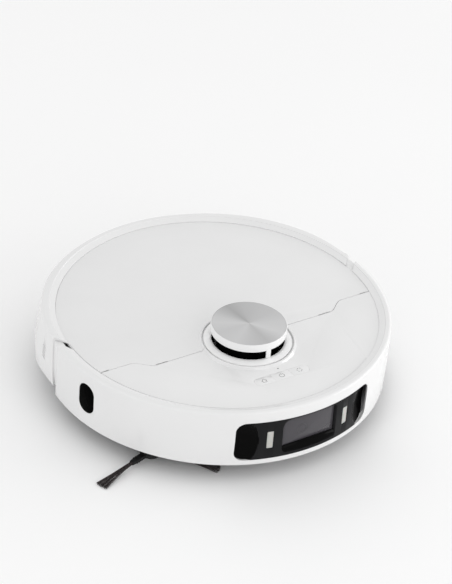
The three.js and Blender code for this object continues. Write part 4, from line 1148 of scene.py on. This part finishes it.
def carry_over():
    """Copies each remaining CAD solid with its flats merged and its edges softened."""
    for slot, finish, names in CARRIED:
        for name in names.split():
            source = frame["nodes"][name]
            bm = bmesh.new()
            bm.from_mesh(source.data)
            bmesh.ops.remove_doubles(bm, verts=bm.verts, dist=1e-6)
            bmesh.ops.dissolve_limit(bm, angle_limit=radians(0.8), verts=bm.verts, edges=bm.edges)
            bmesh.ops.recalc_face_normals(bm, faces=bm.faces)
            made = softened(piece_from(name + "_body", bm), 0.25, 2, 40)
            placed(made, finish, source["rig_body"], slot, [name])


# ---- Underside fittings ----

def make_underside():
    screws = []
    for radius, x, y in ((2.4, 60, -104), (2.4, 86, -20), (2.0, 76.5, -66), (2.0, 76.5, -24)):
        screws += [screw_head(side * x, y, BASE_H, radius) for side in (-1, 1)]
    placed(merged("base_screws", screws), steel, "root", "steel")
    eyes = []
    for angle in (-62, -28, 28, 62, 128, -128):
        eye = prism("eye", oblong(15, 6, 2.6, (0, -148)), (BASE_H - 0.5, BASE_H + 0.3))
        eyes.append(spun(eye, angle))
    placed(softened(merged("floor_sensors", eyes), 0.25, 2), black_gloss, "root", "black_gloss")
    pads = [prism("pad", oblong(22, 9, 1.5, (x, -150)), (BASE_H - 0.6, BASE_H + 0.3)) for x in (-28, 28)]
    placed(softened(merged("charging_pads", pads), 0.3, 2), steel, "root", "steel")


# ---- Stage, light and camera ----

LAMPS = (  # name, place and size in metres, watts
    ("key", (0.1, -2.2, 1.0), 1.4, 4.5),
    ("front", (1.7, -1.2, 0.25), 0.9, 7.5),
    ("side", (-1.9, 0.2, 0.6), 1.2, 1.5),
    ("right", (2.3, -0.5, 0.2), 1.0, 8.0),
)
LOOK = (-34.392, 34.565)  # azimuth and elevation of the camera's axis, in degrees
ROLL = 4.7
STAND = (-34.24, 35.239)  # azimuth and elevation of the camera's place
RANGE, AIM_H = 3.1754, 0.049  # metres
LENS = 194.2


def make_stage():
    half = 4000
    floor = build("floor", [(-half, -half, 0), (half, -half, 0), (half, half, 0), (-half, half, 0)],
                  [(0, 1, 2, 3)])
    pale = moulded("pale_floor", grey(0.96), 0.6, drift=0.004, drift_size=400)
    floor.data.materials.append(pale)
    world = bpy.data.worlds.new("studio")
    SCENE.world = world
    world.use_nodes = True
    tree = world.node_tree
    split = added(tree, "SeparateXYZ", Vector=added(tree, "TexCoord").outputs["Generated"])
    stops = [(0.0, grey(1.0)), (0.35, grey(0.93)), (1.0, grey(0.88))]
    sky = ramped(split.outputs["Z"], stops)
    filled(tree.nodes["Background"], Color=sky, Strength=1.01)
    for name, spot, size, watts in LAMPS:
        light = bpy.data.lights.new(name, "AREA")
        light.shape = "DISK"
        light.size = size
        light.energy = watts
        lamp = linked(name, light)
        lamp.location = spot
        lamp.rotation_euler = (-Vector(spot)).to_track_quat("-Z", "Y").to_euler()
    SCENE.view_settings.view_transform = "Standard"


def direction(azimuth, elevation):
    turn, lift = radians(azimuth), radians(elevation)
    return Vector((sin(turn) * cos(lift), -cos(turn) * cos(lift), sin(lift)))


def make_camera():
    back = direction(*LOOK)
    turn, roll = radians(LOOK[0]), radians(ROLL)
    right = Vector((cos(turn), sin(turn), 0))
    up = back.cross(right)
    tilted_right = right * cos(roll) + up * sin(roll)
    tilted_up = up * cos(roll) - right * sin(roll)
    place = Vector((0, 0, AIM_H)) + RANGE * direction(*STAND)
    data = bpy.data.cameras.new("camera")
    data.lens = LENS
    data.sensor_width = 36
    camera = linked("camera", data)
    axes = Matrix((tilted_right, tilted_up, back)).transposed()
    camera.matrix_world = Matrix.Translation(place) @ axes.to_4x4()
    SCENE.camera = camera


make_stage()
make_camera()
make_bumper()
make_rear_casing()
make_deck()
make_lid()
make_keys()
make_turret()
make_window()
make_side_brush()
make_wheels()
make_mops()
make_roller()
make_caster()
carry_over()
make_underside()
